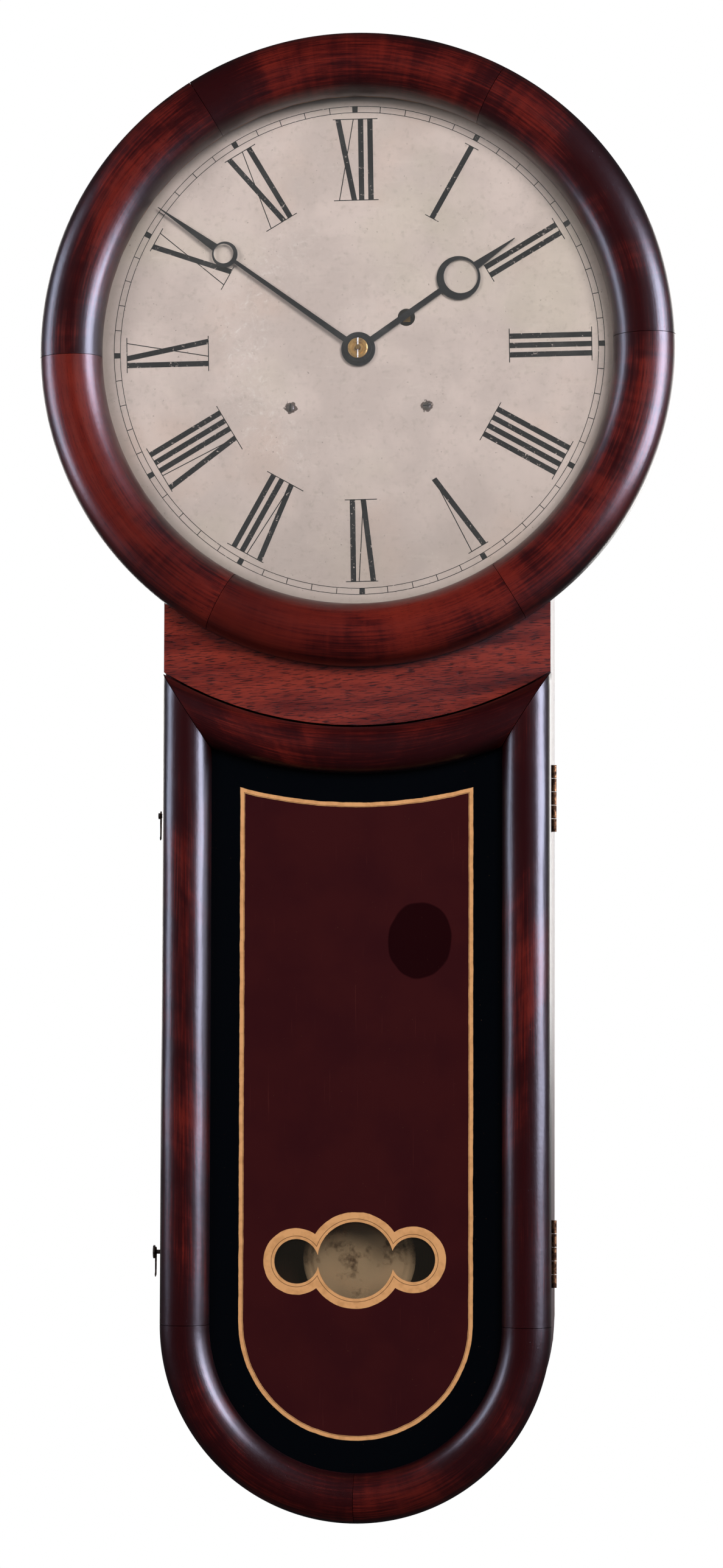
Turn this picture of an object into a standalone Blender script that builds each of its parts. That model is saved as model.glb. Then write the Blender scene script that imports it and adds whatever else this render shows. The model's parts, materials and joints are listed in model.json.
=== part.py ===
"""Weight-driven pendulum wall clock with a round head and a long trunk.

Frame: metres, +Z up, front of the clock facing -Y. The origin is on the wall face of the back board, straight
behind the hand arbor. Depths below are distances in front of the wall, so a depth d lies at y = -d.
"""

from math import asin, atan2, cos, pi, radians, sin, sqrt, tau

import bmesh
import bpy

GAP = 0.0003  # clearance between pieces that rest on each other

# Head: the ring and its bezel sit a little low of the hand arbor.
HEAD_Z = -0.002
BEZEL_R = 0.169
BEZEL_OPENING_R = 0.1358
HEAD_CASE_R = 0.155
HEAD_WALL = 0.008
# Trunk
TRUNK_HALF = 0.1025
TRUNK_WALL = 0.008
FOOT_Z = -0.517  # centre of the half-round foot
# Door
DOOR_HALF = 0.1028
DOOR_INNER_HALF = 0.077
DOOR_TOP_R = 0.2003  # arcs of the door's top rail about the head's centre
DOOR_TOP_INNER_R = 0.2250
NECK_R = 0.1995
# Depths in front of the wall
BACK_BOARD = 0.008
CASE_FRONT = 0.0857
DOOR_BACK = 0.0860
DOOR_EDGE = 0.0943
DOOR_CROWN = 0.1072
NECK_FRONT = 0.0940
BEZEL_BACK = 0.0946
BEZEL_EDGE = 0.1010
BEZEL_CROWN = 0.1175
DIAL_FRONT = 0.0853
DIAL_R = 0.1435
TABLET_FRONT = 0.0909
# Movement
BACK_PLATE = (0.014, 0.016)
FRONT_PLATE = (0.046, 0.048)
PLATE_BOX = (-0.043, 0.059, -0.040, 0.074)
THIRD_AT = (-0.00444, 0.0195)
ESCAPE_AT = (0.0, 0.039)
WINDING_AT = (0.0255, 0.0171)
DIAL_SCREWS = {"left": (-0.0364, -0.0311), "right": (0.0366, -0.0304)}
MINUTE_WHEEL_AT = (-0.00764, -0.00764)
SWING_Z = 0.0617  # axis on which the pendulum and its verge swing
BOB_Z = -0.4836
BOB_R = 0.030
DRUM_R = 0.0085
WEIGHT_TOP = -0.420
# Hands at nine minutes to two
MINUTE_HAND_AT = radians(305.6)
HOUR_HAND_AT = radians(54.8)
# Hinges and hooks
DOOR_HINGE = (0.1041, 0.08585)
DOOR_HINGE_Z = (-0.2400, -0.4795)
BEZEL_HINGE = (0.1572, 0.0929)
HOOK_Z = (-0.2488, -0.4799)

MATERIALS = {
    "mahogany": ((0.10, 0.022, 0.012), 0.3, 0.0),
    "neck_mahogany": ((0.22, 0.06, 0.03), 0.4, 0.0),
    "pine": ((0.45, 0.30, 0.17), 0.7, 0.0),
    "dial_paint": ((0.60, 0.57, 0.52), 0.6, 0.0),
    "brass": ((0.50, 0.36, 0.14), 0.35, 1.0),
    "blued_steel": ((0.02, 0.025, 0.035), 0.4, 0.8),
    "steel": ((0.35, 0.33, 0.31), 0.4, 1.0),
    "cast_iron": ((0.05, 0.05, 0.05), 0.7, 0.6),
    "glass": ((0.9, 0.93, 0.92), 0.05, 0.0),
    "tablet": ((0.05, 0.01, 0.015), 0.1, 0.0),
    "cord": ((0.50, 0.43, 0.30), 0.9, 0.0),
}


def clear_scene():
    for item in list(bpy.data.objects):
        bpy.data.objects.remove(item)


def material(name):
    found = bpy.data.materials.get(name)
    if found:
        return found
    colour, roughness, metallic = MATERIALS[name]
    made = bpy.data.materials.new(name)
    made.use_nodes = True
    shader = made.node_tree.nodes["Principled BSDF"]
    shader.inputs["Base Color"].default_value = (*colour, 1)
    shader.inputs["Roughness"].default_value = roughness
    shader.inputs["Metallic"].default_value = metallic
    return made


def empty(name, x=0.0, depth=0.0, z=0.0):
    """An empty on a joint's axis, which the moving pieces hang from."""
    pivot = bpy.data.objects.new(name, None)
    pivot.location = (x, -depth, z)
    bpy.context.collection.objects.link(pivot)
    return pivot


def place(name, mesh, look, parent):
    item = bpy.data.objects.new(name, mesh)
    bpy.context.collection.objects.link(item)
    mesh.materials.append(material(look))
    if parent:
        item.parent = parent
        item.location = -parent.location
    return item


def solid(name, points, faces, look, parent=None):
    """A closed mesh from its points and faces, with its faces turned outwards."""
    mesh = bpy.data.meshes.new(name)
    mesh.from_pydata(points, [], faces)
    work = bmesh.new()
    work.from_mesh(mesh)
    bmesh.ops.recalc_face_normals(work, faces=work.faces)
    work.to_mesh(mesh)
    work.free()
    mesh.shade_smooth()
    mesh.set_sharp_from_angle(angle=radians(35))
    return place(name, mesh, look, parent)


def box(name, xs, depths, zs, look, parent=None):
    corners = [(x, -d, z) for x in xs for d in depths for z in zs]
    faces = [(0, 1, 3, 2), (4, 6, 7, 5), (0, 4, 5, 1), (2, 3, 7, 6), (0, 2, 6, 4), (1, 5, 7, 3)]
    return solid(name, corners, faces, look, parent)


def plate(name, outlines, depths, look, parent=None):
    """A flat piece cut to outlines in the x-z plane: the first is its edge and the rest are holes."""
    near, far = min(depths), max(depths)
    work = bmesh.new()
    edges = []
    for outline in outlines:
        verts = [work.verts.new((x, -near, z)) for x, z in outline]
        edges += [work.edges.new((verts[i - 1], verts[i])) for i in range(len(verts))]
    bmesh.ops.triangle_fill(work, edges=edges, use_beauty=True)
    made = bmesh.ops.extrude_face_region(work, geom=work.faces[:])
    moved = [part for part in made["geom"] if isinstance(part, bmesh.types.BMVert)]
    bmesh.ops.translate(work, verts=moved, vec=(0, near - far, 0))
    bmesh.ops.recalc_face_normals(work, faces=work.faces)
    mesh = bpy.data.meshes.new(name)
    work.to_mesh(mesh)
    work.free()
    return place(name, mesh, look, parent)


def arc(radius, start, end, steps, centre=(0.0, 0.0)):
    """Points on an arc, with angles clockwise from twelve o'clock as seen from the front."""
    angles = [start + (end - start) * i / steps for i in range(steps + 1)]
    return [(centre[0] + radius * sin(a), centre[1] + radius * cos(a)) for a in angles]


def circle(radius, steps=32, centre=(0.0, 0.0)):
    return arc(radius, 0, tau, steps, centre)[:-1]


def turned(name, profile, centre, look, parent=None, steps=32, along="y"):
    """A turned piece: (radius, depth) points round an axis through centre. A profile that starts and ends on the
    axis is a solid bar, and any other is a closed ring. Along z, the second number is a height."""
    ring = profile[0][0] > 0
    rows, points = [], []
    for radius, depth in profile:
        count = steps if radius > 0 else 1
        rows.append(list(range(len(points), len(points) + count)))
        for i in range(count):
            a, b = radius * sin(tau * i / steps), radius * cos(tau * i / steps)
            if along == "y":
                points.append((centre[0] + a, -depth, centre[1] + b))
            else:
                points.append((centre[0] + a, -centre[1] + b, depth))
    faces = []
    pairs = list(zip(rows, rows[1:])) + ([(rows[-1], rows[0])] if ring else [])
    for low, high in pairs:
        for i in range(steps):
            j = (i + 1) % steps
            corners = [low[i % len(low)], low[j % len(low)], high[j % len(high)], high[i % len(high)]]
            faces.append(list(dict.fromkeys(corners)))
    return solid(name, points, faces, look, parent)


def bar(name, radius, depths, centre, look, parent=None, steps=16, along="y"):
    low, high = depths
    return turned(name, [(0, low), (radius, low), (radius, high), (0, high)], centre, look, parent, steps, along)


def tube(name, radii, depths, centre, look, parent=None, steps=32, along="y"):
    (inner, outer), (low, high) = radii, depths
    profile = [(outer, low), (outer, high), (inner, high), (inner, low)]
    return turned(name, profile, centre, look, parent, steps, along)


def moulding(name, inner, outer, section, look, parent=None):
    """A moulding between two paired paths in the x-z plane. Its section is a closed list of (share, depth), where
    share runs from 0 at the inner path to 1 at the outer one."""
    points = [
        (a[0] + (b[0] - a[0]) * share, -depth, a[1] + (b[1] - a[1]) * share)
        for a, b in zip(inner, outer)
        for share, depth in section
    ]
    n, count = len(section), len(inner)
    faces = [list(range(n)), [(count - 1) * n + i for i in range(n)]]
    for k in range(count - 1):
        for i in range(n):
            j = (i + 1) % n
            faces.append((k * n + i, k * n + j, (k + 1) * n + j, (k + 1) * n + i))
    return solid(name, points, faces, look, parent)


def cut(item, cutter):
    """Takes a helper solid out of a piece."""
    combine(item, cutter, "DIFFERENCE")


def join(item, *others):
    """Makes several overlapping solids one body."""
    for other in others:
        combine(item, other, "UNION")
    return item


def combine(item, helper, operation):
    helper.hide_render = True
    helper.display_type = "WIRE"
    change = item.modifiers.new(operation.lower(), "BOOLEAN")
    change.operation = operation
    change.object = helper


def half_round(edge, crown, back, rebate=None, steps=8):
    """Section of a half-round moulding, with an optional rebate (share, depth) behind its inner edge."""
    round_part = [
        (0.5 - 0.5 * cos(pi * i / steps), edge + (crown - edge) * sin(pi * i / steps)) for i in range(steps + 1)
    ]
    if rebate:
        share, depth = rebate
        return [(1, back), (share, back), (share, depth), (0, depth), *round_part]
    return [(1, back), (0, back), *round_part]


def below(radius, x):
    """Height of an arc about the head's centre, under it, at a distance x from the middle."""
    return HEAD_Z - sqrt(radius**2 - x**2)


def case():
    trunk_top = below(HEAD_CASE_R + GAP, TRUNK_HALF)
    side = pi / 2
    foot = arc(TRUNK_HALF, side, 3 * side, 24, (0, FOOT_Z))
    head = arc(HEAD_CASE_R, -pi + 0.722, pi - 0.722, 48, (0, HEAD_Z))
    plate("back_board", [head + foot], (0, BACK_BOARD), "pine")
    open_angle = pi - 0.655
    wall_depths = (BACK_BOARD + GAP, NECK_FRONT)
    seat = 0.0790, 0.0840
    wall = [(1, wall_depths[0]), (0, wall_depths[0]), (0, wall_depths[1]), (1, wall_depths[1])]
    head_case = moulding(
        "head_case",
        arc(HEAD_CASE_R - HEAD_WALL, -open_angle, open_angle, 40, (0, HEAD_Z)),
        arc(HEAD_CASE_R, -open_angle, open_angle, 40, (0, HEAD_Z)),
        wall,
        "mahogany",
    )
    dial_seat = tube("dial_seat", (0.132, 0.150), seat, (0, HEAD_Z), "mahogany", steps=48)
    join(head_case, dial_seat)
    inner = TRUNK_HALF - TRUNK_WALL
    depths = (BACK_BOARD + GAP, CASE_FRONT)
    for name, sign in (("side_left", -1), ("side_right", 1)):
        top = [(sign * inner, below(HEAD_CASE_R + GAP, inner)), (sign * TRUNK_HALF, trunk_top)]
        plate(name, [[(sign * inner, FOOT_Z + GAP), *top, (sign * TRUNK_HALF, FOOT_Z + GAP)]], depths, "mahogany")
    moulding(
        "bottom_bend",
        arc(inner, side, 3 * side, 20, (0, FOOT_Z)),
        arc(TRUNK_HALF, side, 3 * side, 20, (0, FOOT_Z)),
        [(1, depths[0]), (0, depths[0]), (0, depths[1]), (1, depths[1])],
        "mahogany",
    )
    reach = TRUNK_HALF
    neck = [(-reach + 2 * reach * i / 16, below(NECK_R, -reach + 2 * reach * i / 16)) for i in range(17)]
    rim = HEAD_CASE_R + GAP
    neck_top = [(reach - 2 * reach * i / 16, below(rim, reach - 2 * reach * i / 16)) for i in range(17)]
    plate("neck_panel", [neck + neck_top], (DOOR_BACK, NECK_FRONT), "neck_mahogany")
    baffle = box("weight_baffle", (-inner + GAP, inner - GAP), (0.0403, 0.0433), (-0.515, -0.130), "pine")
    for sign in (-1, 1):
        x = sign * (inner - 0.0065)
        xs, depths = (x - 0.006, x + 0.006), (BACK_BOARD + GAP, 0.0410)
        cleat = box(f"baffle_cleat_{sign}", xs, depths, (-0.514, -0.131), "pine")
        join(baffle, cleat)
    plate(
        "hanger_plate",
        [
            arc(0.016, -pi / 2, pi / 2, 10, (0, 0.128)) + [(0.016, 0.090), (-0.016, 0.090)],
            circle(0.0045, 16, (0, 0.130)),
        ],
        (BACK_BOARD + GAP, 0.0103),
        "steel",
    )

def dial():
    plate(
        "dial",
        [circle(DIAL_R, 96), circle(0.0070, 20), circle(0.0047, 20, WINDING_AT)],
        (DIAL_FRONT - 0.001, DIAL_FRONT),
        "dial_paint",
    )
    for name, (x, z) in DIAL_SCREWS.items():
        low, high = DIAL_FRONT + GAP, DIAL_FRONT + 0.0015
        profile = [(0, low), (0.0021, low), (0.0021, high - 0.0003), (0.0014, high), (0, high)]
        turned(f"dial_screw_{name}", profile, (x, z), "steel", steps=16)

def bezel(pivot):
    section = half_round(BEZEL_EDGE, BEZEL_CROWN, BEZEL_BACK, rebate=(0.16, 0.0990))
    starts = [radians(28.0), radians(88.0), radians(148.0), radians(208.0), radians(268.5), radians(328.0)]
    seam = GAP / (2 * BEZEL_R)
    for index, start in enumerate(starts):
        end = starts[(index + 1) % 6] + (tau if index == 5 else 0)
        inner = arc(BEZEL_OPENING_R, start + seam, end - seam, 9, (0, HEAD_Z))
        outer = arc(BEZEL_R, start + seam, end - seam, 9, (0, HEAD_Z))
        moulding(f"bezel_segment_{index + 1}", inner, outer, section, "mahogany", pivot)
    bar("dial_glass", 0.1405, (0.0966, 0.0987), (0, HEAD_Z), "glass", pivot, steps=64)
    tube("glass_bead", (0.1366, 0.1405), (0.0948, 0.0963), (0, HEAD_Z), "pine", pivot, steps=48)


def butt_hinge(name, axis, z, length, leaves):
    """Two leaves whose five knuckles alternate on one axis. Each leaf is (name, xs, depths, knuckles, parent, the
    piece it is let into or None)."""
    x, depth = axis
    step = length / 5
    low, high = z - length / 2, z + length / 2
    around = 0.0019
    for leaf_name, xs, depths, knuckles, parent, wood in leaves:
        title = f"{name}_{leaf_name}"
        body = box(title, xs, depths, (low, high), "brass", parent)
        for k in range(5):
            if k in knuckles:
                zs = (low + step * k + GAP / 2, low + step * (k + 1) - GAP / 2)
                join(body, bar(f"{title}_knuckle_{k}", 0.00142, zs, axis, "brass", steps=12, along="z"))
            else:
                zs = (low + step * k - GAP / 2, low + step * (k + 1) + GAP / 2)
                notch = (x - around, x + around), (depth - around, depth + around), zs
                cut(body, box(f"{title}_notch_{k}", *notch, "brass"))
        if wood:
            recess = (min(depths[0] - GAP, depth), max(depths[1] + GAP, depth))
            cut(wood, box(f"{title}_recess", (xs[0] - 0.0004, x + 0.003), recess, (low - GAP, high + GAP), "brass"))


def hinges(pivots):
    """Brass butts: two let in between the trunk door and the case, and one behind the bezel's right edge."""
    side, stile = bpy.data.objects["side_right"], bpy.data.objects["door_stile_right"]
    x = DOOR_HINGE[0]
    xs = (x - 0.0081, x - 0.0008)
    for name, z in zip(("upper_hinge", "lower_hinge"), DOOR_HINGE_Z):
        case_leaf = ("case_leaf", xs, (0.0848, 0.0856), (0, 2, 4), None, side)
        door_leaf = ("door_leaf", xs, (0.0861, 0.0869), (1, 3), pivots["door"], stile)
        butt_hinge(name, DOOR_HINGE, z, 0.0355, (case_leaf, door_leaf))
    case_leaf = ("case_leaf", (0.1553, 0.1562), (0.0790, 0.0933), (0, 2, 4), None, None)
    bezel_leaf = ("leaf", (0.1575, 0.1665), (0.0936, 0.0943), (1, 3), pivots["bezel"], None)
    butt_hinge("bezel_hinge", BEZEL_HINGE, HEAD_Z, 0.036, (case_leaf, bezel_leaf))


def door(pivot):
    rebate = (0.2, 0.0913)
    section = half_round(DOOR_EDGE, DOOR_CROWN, DOOR_BACK, rebate)
    corner = below(DOOR_TOP_R, DOOR_HALF)
    inner_corner = below(DOOR_TOP_INNER_R, DOOR_INNER_HALF)
    for name, sign in (("left", -1), ("right", 1)):
        inner = [(sign * DOOR_INNER_HALF, inner_corner - GAP), (sign * DOOR_INNER_HALF, FOOT_Z + 0.0015)]
        outer = [(sign * DOOR_HALF, corner - GAP), (sign * DOOR_HALF, FOOT_Z + 0.0015)]
        moulding(f"door_stile_{name}", inner, outer, section, "mahogany", pivot)
        start, end = sorted((pi, pi / 2 if sign > 0 else 3 * pi / 2))
        seam = 0.0018
        start, end = start + seam, end - seam
        inner = arc(DOOR_INNER_HALF, start, end, 12, (0, FOOT_Z))
        outer = arc(DOOR_HALF, start, end, 12, (0, FOOT_Z))
        moulding(f"door_foot_{name}", inner, outer, section, "mahogany", pivot)
    steps = 14
    inner, outer = [], []
    for i in range(steps + 1):
        share = -1 + 2 * i / steps
        inner.append((share * (DOOR_INNER_HALF - GAP), below(DOOR_TOP_INNER_R, share * DOOR_INNER_HALF)))
        outer.append((share * (DOOR_HALF - GAP), below(DOOR_TOP_R, share * DOOR_HALF)))
    moulding("door_top_rail", inner, outer, section, "mahogany", pivot)

    def pane(half, top_r):
        top = [(-half + 2 * half * i / 14, below(top_r, -half + 2 * half * i / 14)) for i in range(15)]
        return top + arc(half, pi / 2, 3 * pi / 2, 24, (0, FOOT_Z))

    plate("tablet_glass", [pane(0.0815, 0.2208)], (TABLET_FRONT - 0.002, TABLET_FRONT), "tablet", pivot)
    plate("tablet_bead", [pane(0.0815, 0.2208), pane(0.0775, 0.2248)], (0.0863, 0.0886), "pine", pivot)


def hooks():
    """Flat hooks that hang from screws in the case side, and turn up to hold the door's edge."""
    for name, z, stand, head in (("upper", HOOK_Z[0], 0.0030, 0.0016), ("lower", HOOK_Z[1], 0.0045, 0.0035)):
        x = -TRUNK_HALF - GAP
        depth = 0.0790
        pivot = empty(f"hook_{name}_axis", x, depth, z)
        profile = [(0, 0), (0.0011, 0), (0.0011, stand), (head, stand), (head, stand + 0.0009), (0, stand + 0.0009)]
        screw = turned(f"hook_screw_{name}", profile, (0, 0), "steel", steps=12)
        screw.rotation_euler = (0, 0, -pi / 2)
        screw.location = (x, -depth, z)
        # The blade is cut flat, in its own plane across x, then stood on the screw's shank.
        reach = 0.0106
        outline = arc(0.0026, -pi / 2, pi / 2, 8, (0, 0.0)) + [(0.0020, -reach), (0.0034, -reach - 0.0012)]
        outline += [(0.0020, -reach - 0.0024), (-0.0012, -reach - 0.0014)]
        blade = plate(
            f"hook_{name}",
            [outline, circle(0.0013, 12)],
            (stand - 0.0007, stand - 0.0002),
            "brass",
        )
        blade.parent = pivot
        blade.rotation_euler = (0, 0, -pi / 2)


def tooth_outline(teeth, pitch_r, module, corners, turn):
    """Outline of a wheel or pinion. Each corner of a tooth is (modules beyond the pitch circle, share of a pitch)."""
    polar = [
        (pitch_r + rise * module, turn + tau / teeth * (k + share)) for k in range(teeth) for rise, share in corners
    ]
    return [(reach * sin(angle), reach * cos(angle)) for reach, angle in polar]


def moved(outline, centre):
    return [(x + centre[0], z + centre[1]) for x, z in outline]


def wheel(teeth, module, centre, turn=0.0):
    corners = ((-1.0, -0.30), (0.7, 0.0), (-1.0, 0.30))
    return moved(tooth_outline(teeth, teeth * module / 2, module, corners, turn), centre)


def pinion(leaves, module, centre, turn=0.0):
    corners = ((-1.1, -0.16), (0.4, -0.08), (0.4, 0.08), (-1.1, 0.16))
    return moved(tooth_outline(leaves, leaves * module / 2, module, corners, turn), centre)


def bearing(start, towards):
    """Clockwise angle from twelve o'clock of the line from one arbor to another."""
    return atan2(towards[0] - start[0], towards[1] - start[1])


def meshed(wheel_at, pinion_at, leaves):
    """Turns of a wheel and its pinion that put a wheel tooth in a gap of the pinion, on the line between them."""
    towards = bearing(wheel_at, pinion_at)
    return towards, towards + pi + pi / leaves


def frame():
    low_x, high_x, low_z, high_z = PLATE_BOX
    corners = [(low_x + 0.006, low_z + 0.006), (high_x - 0.006, low_z + 0.006)]
    corners += [(low_x + 0.006, high_z - 0.006), (high_x - 0.006, high_z - 0.006)]
    edge = [(low_x, low_z), (low_x, high_z), (high_x, high_z), (high_x, low_z)]
    pivots = [(0.0, 0.0), THIRD_AT, ESCAPE_AT, (0.0, SWING_Z)]
    holes = [circle(0.0015, 10, at) for at in pivots] + [circle(0.0032, 14, WINDING_AT)]
    back = plate("back_plate", [edge] + holes, BACK_PLATE, "brass")
    front = plate("front_plate", [edge] + holes, FRONT_PLATE, "brass")
    for name, at in DIAL_SCREWS.items():
        join(front, bar(f"dial_foot_{name}", 0.003, (0.0470, DIAL_FRONT - 0.001 - GAP), at, "brass", steps=12))
    for index, at in enumerate(corners):
        pillar = bar(f"pillar_{index + 1}", 0.0032, (0.0083, 0.0457), at, "brass", steps=12)
        join(back, pillar)
    stem = box("suspension_bridge", (-0.010, 0.010), (0.0483, 0.0660), (0.0700, 0.0740), "brass")
    stub = box("suspension_stub", (-0.0030, 0.0030), (0.0560, 0.0640), (0.0668, 0.0705), "brass")
    join(stem, stub)


def going_train(pivots):
    """Centre, third and escape wheels with their arbors and pinions, and the great wheel on the winding arbor."""
    centre = (0.0, 0.0)
    great_m, train_m = 0.00059, 0.0005
    great_turn, centre_pinion_turn = meshed(WINDING_AT, centre, 8)
    centre_turn, third_pinion_turn = meshed(centre, THIRD_AT, 8)
    third_turn, escape_pinion_turn = meshed(THIRD_AT, ESCAPE_AT, 8)
    plate(
        "great_wheel",
        [wheel(96, great_m, WINDING_AT, great_turn), circle(0.0036, 16, WINDING_AT)],
        (0.0330, 0.0345),
        "brass",
        pivots["great_wheel"],
    )
    arbor = bar("centre_wheel", 0.0012, (0.0135, 0.0945), centre, "brass", pivots["minute"], steps=10)
    disc = plate("centre_disc", [wheel(72, train_m, centre, centre_turn)], (0.0380, 0.0392), "brass")
    leaves = plate("centre_leaves", [pinion(8, great_m, centre, centre_pinion_turn)], (0.0320, 0.0385), "steel")
    join(arbor, leaves, disc)
    arbor = bar("third_wheel", 0.0009, (0.0140, 0.0478), THIRD_AT, "brass", pivots["third"], steps=10)
    disc = plate("third_disc", [wheel(72, train_m, THIRD_AT, third_turn)], (0.0200, 0.0212), "brass")
    leaves = plate("third_leaves", [pinion(8, train_m, THIRD_AT, third_pinion_turn)], (0.0365, 0.0405), "steel")
    join(arbor, disc, leaves)
    arbor = bar("escape_wheel", 0.0009, (0.0140, 0.0478), ESCAPE_AT, "brass", pivots["escape"], steps=10)
    teeth = []
    for k in range(30):
        a = tau * k / 30
        teeth += [(0.0160 * sin(a), 0.0160 * cos(a)), (0.0135 * sin(a + 0.09), 0.0135 * cos(a + 0.09))]
    disc = plate("escape_disc", [moved(teeth, ESCAPE_AT)], (0.0420, 0.0432), "brass")
    leaves = plate("escape_leaves", [pinion(8, train_m, ESCAPE_AT, escape_pinion_turn)], (0.0190, 0.0230), "steel")
    join(arbor, disc, leaves)


def winding(pivot):
    """The drum, wound by a key on the square end of its arbor behind the hole in the dial."""
    profile = [(0, 0.0140), (0.0030, 0.0140), (0.0030, 0.0180), (0.0110, 0.0180), (0.0110, 0.0192)]
    profile += [(DRUM_R, 0.0192), (DRUM_R, 0.0300), (0.0110, 0.0300), (0.0110, 0.0312), (0.0030, 0.0312)]
    profile += [(0.0030, 0.0640), (0, 0.0640)]
    drum = turned("winding_drum", profile, WINDING_AT, "brass", pivot, steps=24)
    x, z = WINDING_AT
    square = box("winding_square", (x - 0.0019, x + 0.0019), (0.0630, 0.0815), (z - 0.0019, z + 0.0019), "steel")
    join(drum, square)


def motion_work(pivots):
    """Cannon pinion, minute wheel and hour wheel, which turn the hour hand once in twelve turns."""
    centre = (0.0, 0.0)
    first_m, second_m = 0.00045, 0.000432
    minute_turn, cannon_turn = meshed(MINUTE_WHEEL_AT, centre, 12)
    hour_turn, small_turn = meshed(centre, MINUTE_WHEEL_AT, 10)
    hole = circle(0.00125, 12)
    cannon = plate("cannon_pinion", [pinion(12, first_m, centre, cannon_turn), hole], (0.0490, 0.0503), "brass")
    cannon.parent = pivots["minute"]
    pipe = tube("cannon_pipe", (0.00125, 0.0021), (0.0499, 0.0905), centre, "brass", steps=16)
    join(cannon, pipe)
    disc = plate(
        "minute_wheel", [wheel(36, first_m, MINUTE_WHEEL_AT, minute_turn)], (0.0490, 0.0501), "brass", pivots["minute_wheel"]
    )
    leaves = plate("minute_leaves", [pinion(10, second_m, MINUTE_WHEEL_AT, small_turn)], (0.0500, 0.0530), "brass")
    join(disc, leaves)
    rim = [wheel(40, second_m, centre, hour_turn), circle(0.0023, 16)]
    hour = plate("hour_wheel", rim, (0.0516, 0.0527), "brass", pivots["hour"])
    pipe = tube("hour_pipe", (0.0023, 0.0032), (0.0524, 0.0880), centre, "brass", steps=16)
    join(hour, pipe)


def hand_outline(hub_r, ring_at, ring_r, tip, root_half, neck_half):
    """A straight arm with a round hub, an eccentric ring and a long pointed tip, drawn pointing at twelve."""
    tip_half = 0.0022
    lean = asin(root_half / hub_r)
    hub = arc(hub_r, lean, tau - lean, 24)
    waist = asin(neck_half / ring_r)
    point = asin(tip_half / ring_r)
    left = arc(ring_r, pi + waist, tau - point, 12, (0, ring_at))
    right = arc(ring_r, point, pi - waist, 12, (0, ring_at))
    return hub + left + [(0.0, tip)] + right


def turn_outline(outline, angle):
    return [(x * cos(angle) + z * sin(angle), z * cos(angle) - x * sin(angle)) for x, z in outline]


def hands(pivots):
    hour = hand_outline(0.0091, 0.0654, 0.0117, 0.1020, 0.0017, 0.0015)
    hour_parts = [turn_outline(part, HOUR_HAND_AT) for part in (hour, circle(0.0091, 24, (0, 0.0669)))]
    plate("hour_hand", [*hour_parts, circle(0.0035, 16)], (0.0868, 0.0877), "blued_steel", pivots["hour"])
    minute = hand_outline(0.0072, 0.0880, 0.0069, 0.1324, 0.0016, 0.0010)
    minute_parts = [turn_outline(part, MINUTE_HAND_AT) for part in (minute, circle(0.0053, 20, (0, 0.0888)))]
    plate("minute_hand", [*minute_parts, circle(0.0024, 16)], (0.0888, 0.0897), "blued_steel", pivots["minute"])
    tube("hand_collet", (0.0016, 0.0054), (0.0908, 0.0922), (0, 0), "brass", pivots["minute"], steps=24)
    hole_z = 0.0929
    turned(
        "taper_pin",
        [(0, -0.0055), (0.00022, -0.0055), (0.0004, 0.0052), (0, 0.0052)],
        (0, hole_z),
        "steel",
        pivots["minute"],
        steps=8,
        along="z",
    )
    cutter = box("pin_hole", (-0.0006, 0.0006), (hole_z - 0.0007, hole_z + 0.0007), (-0.003, 0.003), "steel")
    cut(bpy.data.objects["centre_wheel"], cutter)

def verge(pivot):
    """Anchor with its arbor and the crutch that leads the pendulum rod."""
    arbor = bar("verge", 0.0009, (0.0140, 0.0515), (0, SWING_Z), "steel", pivot, steps=10)
    anchor = [(-0.0028, 0.0028), (0.0028, 0.0028), (0.0150, -0.0080), (0.0152, -0.0118), (0.0120, -0.0085)]
    anchor += [(0.0022, -0.0020), (-0.0022, -0.0020), (-0.0120, -0.0085), (-0.0152, -0.0118), (-0.0150, -0.0080)]
    arms = plate("verge_anchor", [moved(anchor, (0, SWING_Z))], (0.0418, 0.0434), "steel")
    crutch = [(-0.0010, 0.0265), (-0.0022, 0.0640), (0.0022, 0.0640), (0.0010, 0.0265)]
    leg = plate("crutch_leg", [crutch], (0.0495, 0.0510), "steel")
    fork = plate(
        "crutch_fork",
        [[(-0.0056, 0.0265), (-0.0056, 0.0290), (0.0056, 0.0290), (0.0056, 0.0265)]],
        (0.0500, 0.0525),
        "steel",
    )
    tines = [
        box(f"crutch_tine_{side}", sorted((side * 0.0042, side * 0.0056)), (0.0515, 0.0625), (0.0265, 0.0290), "steel")
        for side in (-1, 1)
    ]
    join(arbor, arms, leg, fork, *tines)


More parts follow.
